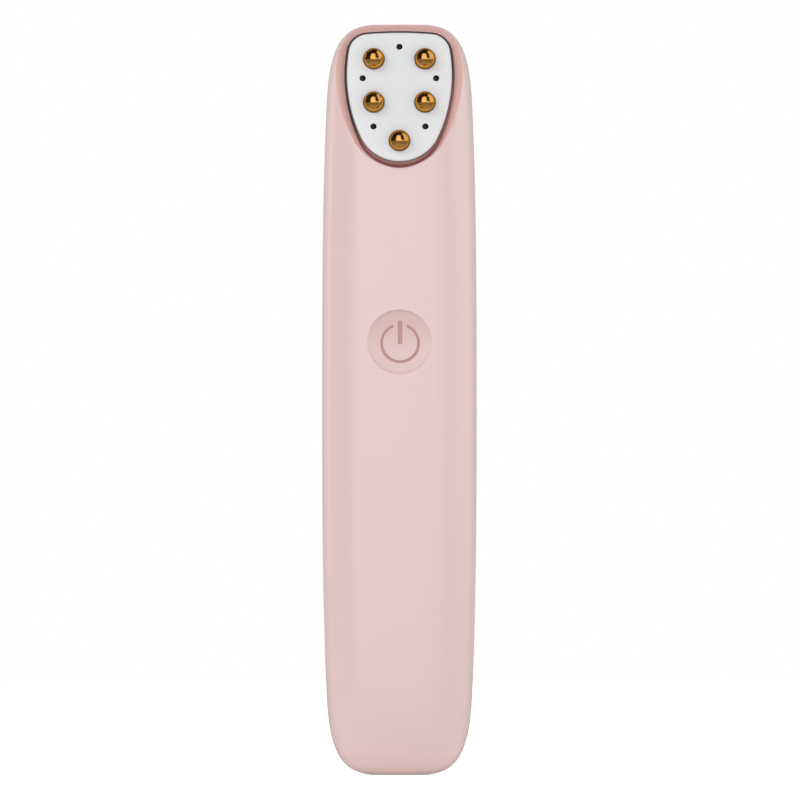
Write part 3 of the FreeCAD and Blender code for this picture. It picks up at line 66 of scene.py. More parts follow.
# The body's outer form.
BODY_LENGTH = 140 * MM
BODY_HALF_WIDTH = 14.42 * MM
BODY_HALF_DEPTH = 11 * MM
SIDE_BOW = 1.68 * MM
FACE_BOW = 1.0 * MM
BOW_POWER = 3
SECTION_POWER = 3.0
CORNER_RUN = 18 * MM
CORNER_RISE = 3.5
CORNER_FALL = 4.35
END_TRIM = 0.1 * MM
END_BORDER = 0.4 * MM
SEAM = 2.5 * MM

# The treatment face: x across, u up the face, q out of it.
FACE_TILT = math.radians(16)
FACE_CENTRE = Vector((0, -6.75, 126.2)) * MM
FACE_UP = Vector((0, math.sin(FACE_TILT), math.cos(FACE_TILT)))
FACE_OUT = Vector((0, -math.cos(FACE_TILT), math.sin(FACE_TILT)))
SHIELD_BOTTOM = (-4.58 * MM, 7.55 * MM)
SHIELD_CORNER = (5.75 * MM, 8.57 * MM, 3.38 * MM)
SHIELD_SIDE = 29 * MM
SHIELD_TOP = 70 * MM

# The recess and the seat in the front cover. The window is cut through the seat.
RECESS_GROW = 0.6 * MM
RECESS_FLARE = math.radians(61.5)
RECESS_FLOOR = 0.2 * MM
RECESS_CORNER = 0.15 * MM
RECESS_EDGE = 0.04 * MM
SEAT_THICKNESS = 1.6 * MM
WINDOW_GROW, WINDOW_LOW, WINDOW_HIGH = 0.25 * MM, -3 * MM, 0.6 * MM

# The pieces of the treatment face: how far each outline grows, and its heights out of the face.
PLATE_LOW, PLATE_HIGH, PLATE_GROW = 0.5 * MM, 1.38 * MM, 0.3 * MM
RING_LOW, RING_HIGH = 0.25 * MM, 0.9 * MM
RING_GROW, RING_MOUTH = 0.8 * MM, 0.33 * MM
RING_SKIRT, RING_OPENING = 0.15 * MM, -0.9 * MM
RING_EDGE, RING_DROP = 0.05 * MM, 0.6 * MM
BEAD_LIFT, BEAD_SINK = 0.41 * MM, 0.28 * MM
BEAD_STEM, BEAD_HOLE = 0.8 * MM, 0.86 * MM
GROOVE_DEPTH, GROOVE_GAP = 0.3 * MM, 0.14 * MM
LENS_RADIUS, LENS_HOLE, LENS_CROWN = 0.55 * MM, 0.59 * MM, 0.1 * MM
STEM_FOOT, LENS_FOOT, CUT_TOP = -2 * MM, -0.2 * MM, 2 * MM
BEAD_SPOTS = [(-4.77, 7.26), (4.77, 7.26), (-4.77, -1.17), (4.77, -1.17), (0, -8.66)]
LENS_SPOTS = [(0, 9.66), (-6.85, 3.53), (6.85, 3.53), (-4.84, -5.84), (4.84, -5.84)]

# The power button, as radii and as depths forwards of the wand's axis, and its hole in the cover.
BUTTON_CENTRE = Vector((0, 0, 80.8)) * MM
BUTTON_HOLE, BUTTON_HOLE_FRONT = 6.0 * MM, 13 * MM
LEDGE_HOLE, LEDGE_FRONT, LEDGE_BACK = 7.6 * MM, 9 * MM, 6 * MM
DISH_BALL = 35.06 * MM
DISH_CENTRE = 45.28 * MM
CAP_EDGE = 0.01 * MM
FLANGE, FLANGE_FRONT, FLANGE_BACK = 7 * MM, 8.95 * MM, 8.15 * MM
HOLLOW, HOLLOW_FRONT = 4.8 * MM, 9.12 * MM
STEM, STEM_BACK = 1.5 * MM, 6.95 * MM

# The engraved power mark.
MARK_CENTRE = Vector((0.13, -0.25, 0)) * MM
MARK_FRONT = 12 * MM
MARK_INNER, MARK_OUTER, MARK_OPENING = 3.21 * MM, 3.7 * MM, 1.3 * MM
BAR_HALF, BAR_FOOT, BAR_HEAD = 0.395 * MM, -0.17 * MM, 4.18 * MM
BAR_CUTS = (0.2, 0.4, 0.6, 0.8)

# The socket's slot in the flat end.
SLOT_WIDTH, SLOT_HEIGHT = 9.3 * MM, 3.56 * MM
SLOT_START, SLOT_REACH = -1 * MM, 4 * MM

# The covers' rims at the seam: a step in the front one, and how deep and how thick each rim is.
SEAM_STEP = 0.2 * MM
FRONT_RIM_WALL, FRONT_RIM_DEPTH = 0.9 * MM, 1.3 * MM
REAR_RIM_WALL, REAR_RIM_DEPTH = 1.0 * MM, 1.2 * MM

# How finely shapes are drawn: rows up the body, turns round it in degrees, steps of round pieces.
ROW_STEP, RECESS_ROW_STEP = 2 * MM, 0.18 * MM
RECESS_ROWS_FROM, SEAT_ROWS_TO = 110 * MM, 120 * MM
TOP_BAND, TOP_BAND_ROWS, TOP_BAND_GAP = 1.6 * MM, 11, 0.1 * MM
FRONT_END_ROWS, INSIDE_END_ROWS, REAR_END_ROWS = 26, 14, 22
FRONT_TURNS = ((-270, -160, 3.0), (-160, -20, 0.75), (-20, 90, 3.0))
INSIDE_TURNS = ((-270, 90, 4.0),)
REAR_TURNS = ((-90, 270, 2.0),)
ARC_STEP, FEWEST_ARC_STEPS = 0.35 * MM, 4
RING_STEPS, BEAD_STEPS, DISH_STEPS, LENS_STEPS = 9, 25, 25, 7
BUTTON_TURN, BEAD_TURN, LENS_TURN, HOLE_TURN = 128, 56, 32, 64
SLOT_TURN, MARK_TURN = 24, 96
PLATE_SEGMENTS = 6
RECESS_SEARCH, RECESS_ROUNDS = (-60 * MM, 40 * MM), 40


def srgb(red, green, blue):
    """A colour given by its 0 to 255 levels, as linear values."""
    return tuple(
        level / 255 / 12.92 if level <= 10 else ((level / 255 + 0.055) / 1.055) ** 2.4
        for level in (red, green, blue)
    )


# ---- properties

def length(name, default, description):
    """A setting that is a length, given in millimetres."""
    return FloatProperty(name=name, description=description, default=default * MM,
                         subtype="DISTANCE", unit="LENGTH")


def tint(name, default, description):
    """A setting that is a colour, given by its 0 to 255 levels."""
    return FloatVectorProperty(name=name, description=description, default=srgb(*default),
                               subtype="COLOR", min=0, max=1)


class WandSizes(bpy.types.PropertyGroup):
    """Sizes of the visible details."""

    wall: length("Wall", 1.8, "Thickness of the two covers")
    crease: length("Recess edge", 0.12, "Softness of the edge where the recess meets the body")
    reveal: length("Seam groove", 0.25, "Depth of the groove along the seam")
    ring_crown: length("Ring crown", 0.55, "Height of the clear ring's rounding")
    plate_round: length("Plate rounding", 0.48, "Rounding of the treatment plate's edge")
    bead_radius: length("Bead radius", 1.95, "Radius of each massage bead")
    button_radius: length("Button radius", 5.997, "Radius of the power button's cap")
    mark_depth: length("Mark depth", 0.15, "Depth of the engraved power mark")


class WandColours(bpy.types.PropertyGroup):
    """Colours of the visible finishes."""

    cover: tint("Covers", (215, 188, 184), "Colour of the moulded covers")
    # The recess's redder, darker colour is painted shade, for the shade that falls in the recess
    # round the treatment face.
    recess: tint("Recess", (222, 173, 166), "Colour of the recess round the treatment face")
    button: tint("Button", (209, 178, 172), "Colour of the power button")
    mark: tint("Power mark", (190, 148, 143), "Colour in the engraved mark")
    plate: tint("Plate", (215, 215, 216), "Colour of the treatment plate")
    # The clear ring is drawn opaque. Its colour paints the pink recess seen through it, and it runs
    # into a darker painted shade towards its upper left.
    ring: tint("Ring", (116, 60, 53), "Tint of the clear ring at its lower right")
    ring_smoke: tint("Ring smoke", (28, 15, 13), "Darker tint of the ring to its upper left")
    bead: tint("Beads", (226, 166, 86), "Colour of the gold plating")


# ---- materials

# How dark the broad tone goes, how coarse it is beside the fine pattern, how fast open cells rise.
TONE_DARK = (0.8, 0.8, 0.8, 1)
BROAD_SHARE = 0.03
CELL_RISE = 1.4


def node_group(name, inputs, outputs):
    """An empty shader node group with its sockets."""
    group = bpy.data.node_groups.new(name, "ShaderNodeTree")
    for label, kind, value in inputs:
        socket = group.interface.new_socket(label, in_out="INPUT", socket_type=kind)
        socket.default_value = value
    for label, kind in outputs:
        group.interface.new_socket(label, in_out="OUTPUT", socket_type=kind)
    return group, group.nodes.new("NodeGroupInput"), group.nodes.new("NodeGroupOutput")


def feed(tree, socket, value):
    """Give a node's input a number, or link it to the output of another node."""
    if isinstance(value, (int, float)):
        socket.default_value = value
    else:
        tree.links.new(value, socket)


def noise(tree, vector, scale, detail=2.0):
    """A noise texture on a vector."""
    node = tree.nodes.new("ShaderNodeTexNoise")
    node.inputs["Detail"].default_value = detail
    tree.links.new(vector, node.inputs["Vector"])
    feed(tree, node.inputs["Scale"], scale)
    return node.outputs["Fac"]


def maths(tree, operation, *values):
    """A maths node on numbers and outputs of other nodes."""
    node = tree.nodes.new("ShaderNodeMath")
    node.operation = operation
    for socket, value in zip(node.inputs, values):
        feed(tree, socket, value)
    return node.outputs["Value"]


def tone(tree, colour, amount):
    """A colour darkened where amount is high."""
    node = tree.nodes.new("ShaderNodeMix")
    node.data_type = "RGBA"
    node.blend_type = "MULTIPLY"
    node.inputs["B"].default_value = TONE_DARK
    tree.links.new(amount, node.inputs["Factor"])
    tree.links.new(colour, node.inputs["A"])
    return node.outputs["Result"]


def object_coordinates(tree, stretch):
    """The piece's own coordinates, stretched along its axes."""
    coordinates = tree.nodes.new("ShaderNodeTexCoord")
    mapping = tree.nodes.new("ShaderNodeMapping")
    mapping.inputs["Scale"].default_value = stretch
    tree.links.new(coordinates.outputs["Object"], mapping.inputs["Vector"])
    return mapping.outputs["Vector"]


SURFACE_INPUTS = [
    ("Colour", "NodeSocketColor", (0.8, 0.8, 0.8, 1)),
    ("Scale", "NodeSocketFloat", 3000.0),
    ("Tone", "NodeSocketFloat", 0.1),
    ("Roughness", "NodeSocketFloat", 0.4),
    ("Spread", "NodeSocketFloat", 0.1),
]
SURFACE_OUTPUTS = [
    ("Colour", "NodeSocketColor"),
    ("Roughness", "NodeSocketFloat"),
    ("Height", "NodeSocketFloat"),
]


def surface_group(name, stretch, grain):
    """A finish: its fine pattern moves the roughness and height, and a broad one the tone."""
    group, given, result = node_group(name, SURFACE_INPUTS, SURFACE_OUTPUTS)
    vector = object_coordinates(group, stretch)
    fine = grain(group, vector, given.outputs["Scale"])
    broad = noise(group, vector, maths(group, "MULTIPLY", given.outputs["Scale"], BROAD_SHARE))
    amount = maths(group, "MULTIPLY", broad, given.outputs["Tone"])
    group.links.new(tone(group, given.outputs["Colour"], amount), result.inputs["Colour"])
    swing = maths(group, "SUBTRACT", fine, 0.5)
    rough = maths(group, "MULTIPLY_ADD", swing, given.outputs["Spread"], given.outputs["Roughness"])
    group.links.new(rough, result.inputs["Roughness"])
    group.links.new(fine, result.inputs["Height"])
    return group


def moulded_grain(tree, vector, scale):
    """Fine spark-eroded grain."""
    return noise(tree, vector, scale, detail=3.0)


def cell_grain(tree, vector, scale):
    """Open cells, as in foam."""
    cells = tree.nodes.new("ShaderNodeTexVoronoi")
    tree.links.new(vector, cells.inputs["Vector"])
    tree.links.new(scale, cells.inputs["Scale"])
    return maths(tree, "MULTIPLY", cells.outputs["Distance"], CELL_RISE)


def track_grain(tree, vector, scale):
    """Raised tracks of a circuit board under its solder mask."""
    tracks = tree.nodes.new("ShaderNodeTexBrick")
    tracks.inputs["Mortar Size"].default_value = 0.06
    tracks.inputs["Color1"].default_value = (0, 0, 0, 1)
    tracks.inputs["Color2"].default_value = (0.2, 0.2, 0.2, 1)
    tracks.inputs["Mortar"].default_value = (1, 1, 1, 1)
    turn = tree.nodes.new("ShaderNodeMapping")
    turn.inputs["Rotation"].default_value = (math.pi / 2, 0, 0)
    tree.links.new(vector, turn.inputs["Vector"])
    tree.links.new(turn.outputs["Vector"], tracks.inputs["Vector"])
    tree.links.new(scale, tracks.inputs["Scale"])
    return tracks.outputs["Color"]


EVEN, DRAWN = (1, 1, 1), (1, 1, 0.04)
GRAIN, METAL, CELLS, TRACKS = "Moulded grain", "Drawn metal", "Open cells", "Tracks"
SILKY = {"Specular IOR Level": 1.0}
METALLIC = {"Metallic": 1.0}

# Each finish: its group, colour (or the name of a colour property), pattern scale per metre, tone,
# roughness, the roughness's spread, bump height and the shader's constants.
FINISHES = {
    "shell_pink": (GRAIN, "cover", 5200, 0.08, 0.24, 0.05, 2.5e-6, SILKY),
    # The recess's finish: its colour is painted shade.
    "recess_painted_shade": (GRAIN, "recess", 5200, 0.08, 0.28, 0.05, 2.5e-6, SILKY),
    "button_pink": (GRAIN, "button", 5200, 0.08, 0.24, 0.05, 2.5e-6, SILKY),
    "mark_pink": (GRAIN, "mark", 5200, 0.10, 0.55, 0.08, 6e-6, {"Specular IOR Level": 0.3}),
    "plate_white": (GRAIN, "plate", 6500, 0.05, 0.30, 0.06, 3e-6, {"Specular IOR Level": 0.5}),
    "clear_ring": (GRAIN, "ring", 2500, 0.3, 0.05, 0.03, 1e-6,
                   {"IOR": 1.65, "Coat Weight": 0.5, "Coat Roughness": 0.02}),
    # The beads' very dark Specular Tint darkens their rims: a painted shade round their outline.
    "bead_gold": (GRAIN, "bead", 2500, 0.15, 0.15, 0.04, 1e-6,
                  {"Metallic": 1.0, "Specular Tint": (0.12, 0.05, 0.015, 1)}),
    "lens_dark": (GRAIN, srgb(5, 5, 7), 3000, 0.1, 0.2, 0.04, 1e-6, {"Specular IOR Level": 0.25}),
    "led_white": (GRAIN, srgb(238, 230, 168), 3000, 0.1, 0.30, 0.05, 2e-6, {}),
    "silicone": (GRAIN, srgb(122, 122, 126), 2500, 0.1, 0.62, 0.08, 6e-6, {"Sheen Weight": 0.2}),
    "heater_amber": (TRACKS, srgb(190, 118, 42), 260, 0.3, 0.22, 0.05, 6e-6, {"Coat Weight": 0.3}),
    "foam_grey": (CELLS, srgb(92, 92, 96), 2600, 0.4, 0.92, 0.05, 8e-5, {"Sheen Weight": 0.3}),
    "board_green": (TRACKS, srgb(24, 104, 66), 240, 0.5, 0.30, 0.10, 1e-5, {"Coat Weight": 0.3}),
    "chip_black": (GRAIN, srgb(34, 34, 36), 4200, 0.2, 0.48, 0.10, 5e-6, {}),
    "coil_grey": (GRAIN, srgb(96, 96, 100), 5200, 0.4, 0.66, 0.10, 1e-5, {}),
    "connector_cream": (GRAIN, srgb(226, 218, 196), 3600, 0.1, 0.38, 0.08, 4e-6, {}),
    "plunger_white": (GRAIN, srgb(230, 230, 226), 3600, 0.1, 0.34, 0.08, 4e-6, {}),
    "frame_grey": (GRAIN, srgb(192, 192, 195), 3600, 0.2, 0.50, 0.10, 6e-6, {}),
    "steel": (METAL, srgb(196, 198, 202), 5200, 0.3, 0.28, 0.14, 3e-6, METALLIC),
    "can_steel": (METAL, srgb(206, 208, 212), 5200, 0.3, 0.24, 0.12, 3e-6, METALLIC),
    "weight_brass": (GRAIN, srgb(204, 184, 128), 5200, 0.5, 0.42, 0.14, 8e-6, METALLIC),
    "cell_blue": (GRAIN, srgb(42, 108, 168), 900, 0.2, 0.26, 0.08, 8e-6, {"Coat Weight": 0.4}),
    "wire_red": (GRAIN, srgb(186, 36, 34), 2600, 0.2, 0.34, 0.08, 3e-6, {}),
    "wire_black": (GRAIN, srgb(30, 30, 32), 2600, 0.2, 0.34, 0.08, 3e-6, {}),
}

FINISH_PREFIX = "finish_"

# The clear ring's painted shade: the way it darkens, and how far along that way it starts and ends.
RING_SHADE_WAY = (-0.5, 0.0, 0.85)
RING_SHADE_SPAN = (101 * MM, 109 * MM)


def build_groups():
    """The shared finishes."""
    return {
        GRAIN: surface_group(GRAIN, EVEN, moulded_grain),
        METAL: surface_group(METAL, DRAWN, moulded_grain),
        CELLS: surface_group(CELLS, EVEN, cell_grain),
        TRACKS: surface_group(TRACKS, EVEN, track_grain),
    }


def build_material(slot, group, colour, scale, shade, roughness, swing, height, constants):
    """A material: the shader here, its colour, roughness and grain from a shared group."""
    material = bpy.data.materials.new(FINISH_PREFIX + slot)
    material.use_nodes = True
    tree = material.node_tree
    shader = tree.nodes["Principled BSDF"]
    finish = tree.nodes.new("ShaderNodeGroup")
    finish.node_tree = group
    finish.inputs["Colour"].default_value = (*colour, 1)
    settings = {"Scale": scale, "Tone": shade, "Roughness": roughness, "Spread": swing}
    for label, value in settings.items():
        finish.inputs[label].default_value = value
    bump = tree.nodes.new("ShaderNodeBump")
    bump.inputs["Distance"].default_value = height
    tree.links.new(finish.outputs["Height"], bump.inputs["Height"])
    tree.links.new(bump.outputs["Normal"], shader.inputs["Normal"])
    tree.links.new(finish.outputs["Colour"], shader.inputs["Base Color"])
    tree.links.new(finish.outputs["Roughness"], shader.inputs["Roughness"])
    for label, value in constants.items():
        shader.inputs[label].default_value = value
    return material


def painted_shade(slot, colour, towards, start, end):
    """Let a material's colour run into a second one along a direction across the piece, as painted
    shade.
    """
    tree = material(slot).node_tree
    finish = next(node for node in tree.nodes if node.type == "GROUP")
    coordinates = tree.nodes.new("ShaderNodeTexCoord")
    along = tree.nodes.new("ShaderNodeVectorMath")
    along.operation = "DOT_PRODUCT"
    along.inputs[1].default_value = towards
    tree.links.new(coordinates.outputs["Object"], along.inputs[0])
    share = tree.nodes.new("ShaderNodeMapRange")
    share.interpolation_type = "SMOOTHSTEP"
    share.inputs["From Min"].default_value = start
    share.inputs["From Max"].default_value = end
    tree.links.new(along.outputs["Value"], share.inputs["Value"])
    mixed = tree.nodes.new("ShaderNodeMix")
    mixed.data_type = "RGBA"
    mixed.inputs["A"].default_value = finish.inputs["Colour"].default_value
    mixed.inputs["B"].default_value = (*colour, 1)
    tree.links.new(share.outputs["Result"], mixed.inputs["Factor"])
    tree.links.new(mixed.outputs["Result"], finish.inputs["Colour"])


def material(slot):
    """The finished material of a slot."""
    return bpy.data.materials[FINISH_PREFIX + slot]


# ---- shaping

def mesh_of(name, shape):
    """A new mesh of a shape, which is used up."""
    mesh = bpy.data.meshes.new(name)
    shape.to_mesh(mesh)
    shape.free()
    return mesh


def linked(name, data):
    """A new object in the scene."""
    item = bpy.data.objects.new(name, data)
    bpy.context.scene.collection.objects.link(item)
    return item


def solid_piece(name, shape, slots, body, stands_for, soft_angle=SOFT_ANGLE):
    """Turn a closed mesh into a piece that rides on a body in place of CAD nodes."""
    if any(edge.is_boundary for edge in shape.edges):
        raise RuntimeError(f"{name} is open")
    mesh = mesh_of(name, shape)
    mesh.shade_smooth()
    mesh.set_sharp_from_angle(angle=math.radians(soft_angle))
    for slot in slots:
        mesh.materials.append(material(slot))
    piece = linked(name, mesh)
    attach(piece, body)
    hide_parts(*stands_for)


def tidy(shape, dist=WELD):
    """Merge doubles and point every face outwards."""
    bmesh.ops.remove_doubles(shape, verts=shape.verts, dist=dist)
    bmesh.ops.recalc_face_normals(shape, faces=shape.faces)
    return shape


def open_edges(shape, test=lambda edge: True):
    """The edges round the openings of a mesh."""
    return [edge for edge in shape.edges if edge.is_boundary and test(edge)]


def filled(shape, edges):
    """A face over a loop of edges."""
    return bmesh.ops.edgeloop_fill(shape, edges=edges)["faces"][0]


def walk(shape, face, direction, *steps):
    """Move a face on in steps, inwards in its plane and along a direction, with walls behind."""
    for inward, along in steps:
        if inward:
            bmesh.ops.inset_individual(shape, faces=[face], thickness=inward, use_even_offset=True)
        else:
            face = bmesh.ops.extrude_discrete_faces(shape, faces=[face])["faces"][0]
        bmesh.ops.translate(shape, verts=face.verts, vec=Vector(direction) * along)
    return face


def turned(profile, steps, place=Matrix()):
    """A solid turned about the local z axis from a line of (radius, height) points."""
    shape = bmesh.new()
    points = [shape.verts.new((radius, 0, height)) for radius, height in profile]
    lines = [shape.edges.new(pair) for pair in zip(points, points[1:])]
    bmesh.ops.spin(shape, geom=points + lines, cent=(0, 0, 0), axis=(0, 0, 1), angle=2 * math.pi,
                   steps=steps, use_merge=True)
    tidy(shape)
    bmesh.ops.transform(shape, matrix=place, verts=shape.verts)
    return shape


def carved(shape, *tools):
    """A mesh less its tools, each cut exactly."""
    held = [linked("carving", mesh_of("carving", part)) for part in (shape, *tools)]
    for tool in held[1:]:
        modifier = held[0].modifiers.new(tool.name, "BOOLEAN")
        modifier.operation = "DIFFERENCE"
        modifier.solver = "EXACT"
        modifier.object = tool
    bpy.context.view_layer.update()
    graph = bpy.context.evaluated_depsgraph_get()
    result = bmesh.new()
    result.from_mesh(held[0].evaluated_get(graph).to_mesh())
    for item in held:
        mesh = item.data
        bpy.data.objects.remove(item)
        bpy.data.meshes.remove(mesh)
    return tidy(result)


def face_place(x=0.0, u=0.0):
    """The matrix from local x, u and q to a spot on the treatment face."""
    across = Vector((1, 0, 0))
    turn = Matrix((across, FACE_UP, FACE_OUT)).transposed().to_4x4()
    return Matrix.Translation(FACE_CENTRE + across * x + FACE_UP * u) @ turn


def button_place():
    """The matrix from local x, up and forwards to the button."""
    return Matrix.Translation(BUTTON_CENTRE) @ Matrix.Rotation(math.pi / 2, 4, "X")


# ---- the head's outline

def shield_arcs():
    """The plate's outline: six arcs, each tangent to the next, counted from the lower end."""
    low, low_radius = SHIELD_BOTTOM
    x, u, radius = SHIELD_CORNER
    gap = math.hypot(x, u - low)
    along = ((SHIELD_SIDE - low_radius) ** 2 - (SHIELD_SIDE - radius) ** 2 + gap ** 2) / (2 * gap)
    off = math.sqrt((SHIELD_SIDE - low_radius) ** 2 - along ** 2)
    side_x = (along * x - off * (u - low)) / gap
    side_u = low + (along * (u - low) + off * x) / gap
    top_u = u - math.sqrt((SHIELD_TOP - radius) ** 2 - x ** 2)
    foot = math.atan2(low - side_u, -side_x)
    shoulder = math.atan2(u - side_u, x - side_x)
    crown = math.atan2(u - top_u, x)
    half = math.pi
    return [
        (0.0, low, low_radius, -half - foot, foot),
        (side_x, side_u, SHIELD_SIDE, foot, shoulder),
        (x, u, radius, shoulder, crown),
        (0.0, top_u, SHIELD_TOP, crown, half - crown),
        (-x, u, radius, half - crown, half - shoulder),
        (-side_x, side_u, SHIELD_SIDE, half - shoulder, half - foot),
    ]


def shield_distance(x, u):
    """How far points stand outside the plate's outline."""
    distance = np.full(np.shape(x), -1.0)
    for centre_x, centre_u, radius, start, end in shield_arcs():
        angle = np.arctan2(u - centre_u, x - centre_x)
        inside = (angle - start) % (2 * math.pi) <= end - start
        reach = np.hypot(x - centre_x, u - centre_u) - radius
        distance = np.where(inside, np.maximum(distance, reach), distance)
    return distance


def shield_face(shape, grow, lift):
    """The plate's outline, grown all round, as one face: each arc is spun about its centre."""
    arcs = shield_arcs()
    x, u, radius, start, end = arcs[0]
    reach = radius + grow
    point = shape.verts.new((x + reach * math.cos(start), u + reach * math.sin(start), lift))
    for x, u, radius, start, end in arcs:
        steps = max(FEWEST_ARC_STEPS, round((end - start) * radius / ARC_STEP))
        spun = bmesh.ops.spin(shape, geom=[point], cent=(x, u, lift), axis=(0, 0, 1),
                              angle=end - start, steps=steps)
        point = next(item for item in spun["geom_last"] if isinstance(item, bmesh.types.BMVert))
    bmesh.ops.remove_doubles(shape, verts=shape.verts, dist=SPIN_WELD)
    return filled(shape, shape.edges)


def shield_slab(grow, low, high):
    """A plate of the head's outline, and the face on its top."""
    shape = bmesh.new()
    top = walk(shape, shield_face(shape, grow, low), OUT, (0, high - low))
    filled(shape, open_edges(shape))
    return shape, top


# ---- the covers

def half_sizes(z, inset):
    """Half width and half depth of the body, or of a surface inside it, at heights."""
    run = np.minimum(z, BODY_LENGTH - z) - inset + END_TRIM
    rest = np.clip(1 - run / CORNER_RUN, 0, 1)
    share = (1 - rest ** CORNER_RISE) ** (1 / CORNER_FALL)
    bow = np.abs(2 * z / BODY_LENGTH - 1) ** BOW_POWER
    width = (BODY_HALF_WIDTH - SIDE_BOW * bow - inset) * share
    depth = (BODY_HALF_DEPTH - FACE_BOW * bow - inset) * share
    return width, depth


def smooth_max(first, second, blend):
    """The larger of two values, rounded where they are close."""
    near = np.maximum(blend - np.abs(first - second), 0) / blend
    return np.maximum(first, second) + near ** 2 * blend / 4


def recess_depth(x, z, corner):
    """How far back the head's recess reaches at points of the front view."""
    tangent, sine, cosine = math.tan(RECESS_FLARE), math.sin(FACE_TILT), math.cos(FACE_TILT)
    low, high = (np.full(x.shape, limit) for limit in RECESS_SEARCH)
    for _ in range(RECESS_ROUNDS):
        y = (low + high) / 2
        ahead, above = y - FACE_CENTRE.y, z - FACE_CENTRE.z
        out = above * sine - ahead * cosine
        outside = shield_distance(x, above * cosine + ahead * sine)
        beyond = outside - RECESS_GROW - out * tangent
        low, high = np.where(beyond < 0, y, low), np.where(beyond < 0, high, y)
    floor = FACE_CENTRE.y + ((z - FACE_CENTRE.z) * sine - RECESS_FLOOR) / cosine
    return -smooth_max(-low, -floor, corner)


def seat_depth(z):
    """How far back the seat for the head reaches."""
    sine, cosine = math.sin(FACE_TILT), math.cos(FACE_TILT)
    return FACE_CENTRE.y + ((z - FACE_CENTRE.z) * sine + SEAT_THICKNESS) / cosine


def end_heights(inset, count):
    """Heights through the rounding at the lower end, closer together near the end."""
    first = math.acos((1 - END_TRIM / CORNER_RUN) ** (CORNER_RISE / 2))
    turns = np.linspace(first, math.pi / 2, count)
    heights = inset + CORNER_RUN * (1 - np.cos(turns) ** (2 / CORNER_RISE)) - END_TRIM
    heights[0] = inset
    return heights


def hull(turns, heights, inset, reshape=None):
    """The body's form as a closed skin over a grid of turns and heights."""
    shape = bmesh.new()
    columns, rows = len(turns) - 1, len(heights) - 1
    bmesh.ops.create_grid(shape, x_segments=columns, y_segments=rows, size=1.0)
    spots = np.array([vert.co for vert in shape.verts])
    turn = turns[np.rint((spots[:, 0] + 1) / 2 * columns).astype(int)]
    z = heights[np.rint((spots[:, 1] + 1) / 2 * rows).astype(int)]
    width, depth = half_sizes(z, inset)
    across, deep = np.abs(np.cos(turn) / width), np.abs(np.sin(turn) / depth)
    reach = (across ** SECTION_POWER + deep ** SECTION_POWER) ** (-1 / SECTION_POWER)
    x, y = reach * np.cos(turn), reach * np.sin(turn)
    reshaped = y
    if reshape is not None:
        reshaped = np.where(y < SEAM / 2, reshape(x, y, z), y)
    for vert, spot in zip(shape.verts, np.stack((x, reshaped, z), axis=1)):
        vert.co = spot
    # Faces pushed back by the reshape (the recess, or the seat inside) take the second slot; on the
    # front cover its colour is the recess's painted shade.
    moved = {vert for vert, push in zip(shape.verts, reshaped - y) if push > RECESS_EDGE}
    for face in shape.faces:
        face.material_index = int(moved.issuperset(face.verts))
    bmesh.ops.remove_doubles(shape, verts=shape.verts, dist=WELD)
    middle = BODY_LENGTH / 2
    for low_end in (True, False):
        rim = open_edges(shape, lambda edge: (edge.verts[0].co.z < middle) == low_end)
        end = filled(shape, rim)
        if not inset:
            bmesh.ops.inset_individual(shape, faces=[end], thickness=END_BORDER,
                                       use_even_offset=True)
    return shape


def halved(shape, y, keep_front):
    """A skin cut by a plane across the depth, and the face over the cut."""
    bmesh.ops.bisect_plane(shape, geom=shape.verts[:] + shape.edges[:] + shape.faces[:], dist=WELD,
                           plane_co=(0, y, 0), plane_no=(0, 1 if keep_front else -1, 0),
                           clear_outer=True)
    rim = {vert for edge in open_edges(shape) for vert in edge.verts}
    bmesh.ops.remove_doubles(shape, verts=list(rim), dist=RIM_WELD)
    return filled(shape, open_edges(shape))


def joined_shell(outer, inner):
    """Two open skins joined by a rim."""
    mesh = mesh_of("inner_skin", inner)
    outer.from_mesh(mesh)
    bpy.data.meshes.remove(mesh)
    bmesh.ops.triangle_fill(outer, edges=open_edges(outer), use_beauty=True)
    return tidy(outer)


def spread(*spans):
    """Values over joined spans, each given by its start, end and step."""
    parts = [np.arange(start, end, step) for start, end, step in spans]
    return np.append(np.concatenate(parts), spans[-1][1])


def front_cover_shape(sizes):
    """The front cover: its skin with the head's recess, its wall, its rim and its openings."""
    def recessed(x, y, z):
        return smooth_max(y, recess_depth(x, z, RECESS_CORNER), sizes.crease)

    def seated(x, y, z):
        return np.maximum(y, seat_depth(z))

    low_end = end_heights(0.0, FRONT_END_ROWS)
    top_end = BODY_LENGTH - np.linspace(1, 0, TOP_BAND_ROWS) ** 2 * TOP_BAND
    middle = spread((low_end[-1] + ROW_STEP, RECESS_ROWS_FROM - ROW_STEP, ROW_STEP),
                    (RECESS_ROWS_FROM, top_end[0] - TOP_BAND_GAP, RECESS_ROW_STEP))
    heights = np.concatenate((low_end, middle, top_end))
    outer = hull(np.radians(spread(*FRONT_TURNS)), heights, 0.0, recessed)
    rim = halved(outer, SEAM - SEAM_STEP, True)
    rim = walk(outer, rim, BACK, (sizes.reveal, 0), (0, SEAM_STEP),
               (FRONT_RIM_WALL - sizes.reveal, 0), (0, -FRONT_RIM_DEPTH))
    outer.faces.remove(rim)
    low_end = end_heights(sizes.wall, INSIDE_END_ROWS)
    middle = spread((low_end[-1] + ROW_STEP, SEAT_ROWS_TO, ROW_STEP))
    heights = np.concatenate((low_end, middle, BODY_LENGTH - low_end[::-1]))
    inner = hull(np.radians(spread(*INSIDE_TURNS)), heights, sizes.wall, seated)
    inner.faces.remove(halved(inner, SEAM - FRONT_RIM_DEPTH, True))
    shell = joined_shell(outer, inner)
    window = shield_slab(WINDOW_GROW, WINDOW_LOW, WINDOW_HIGH)[0]
    bmesh.ops.transform(window, matrix=face_place(), verts=window.verts)
    return carved(shell, tidy(window), button_hole_shape(), slot_shape())


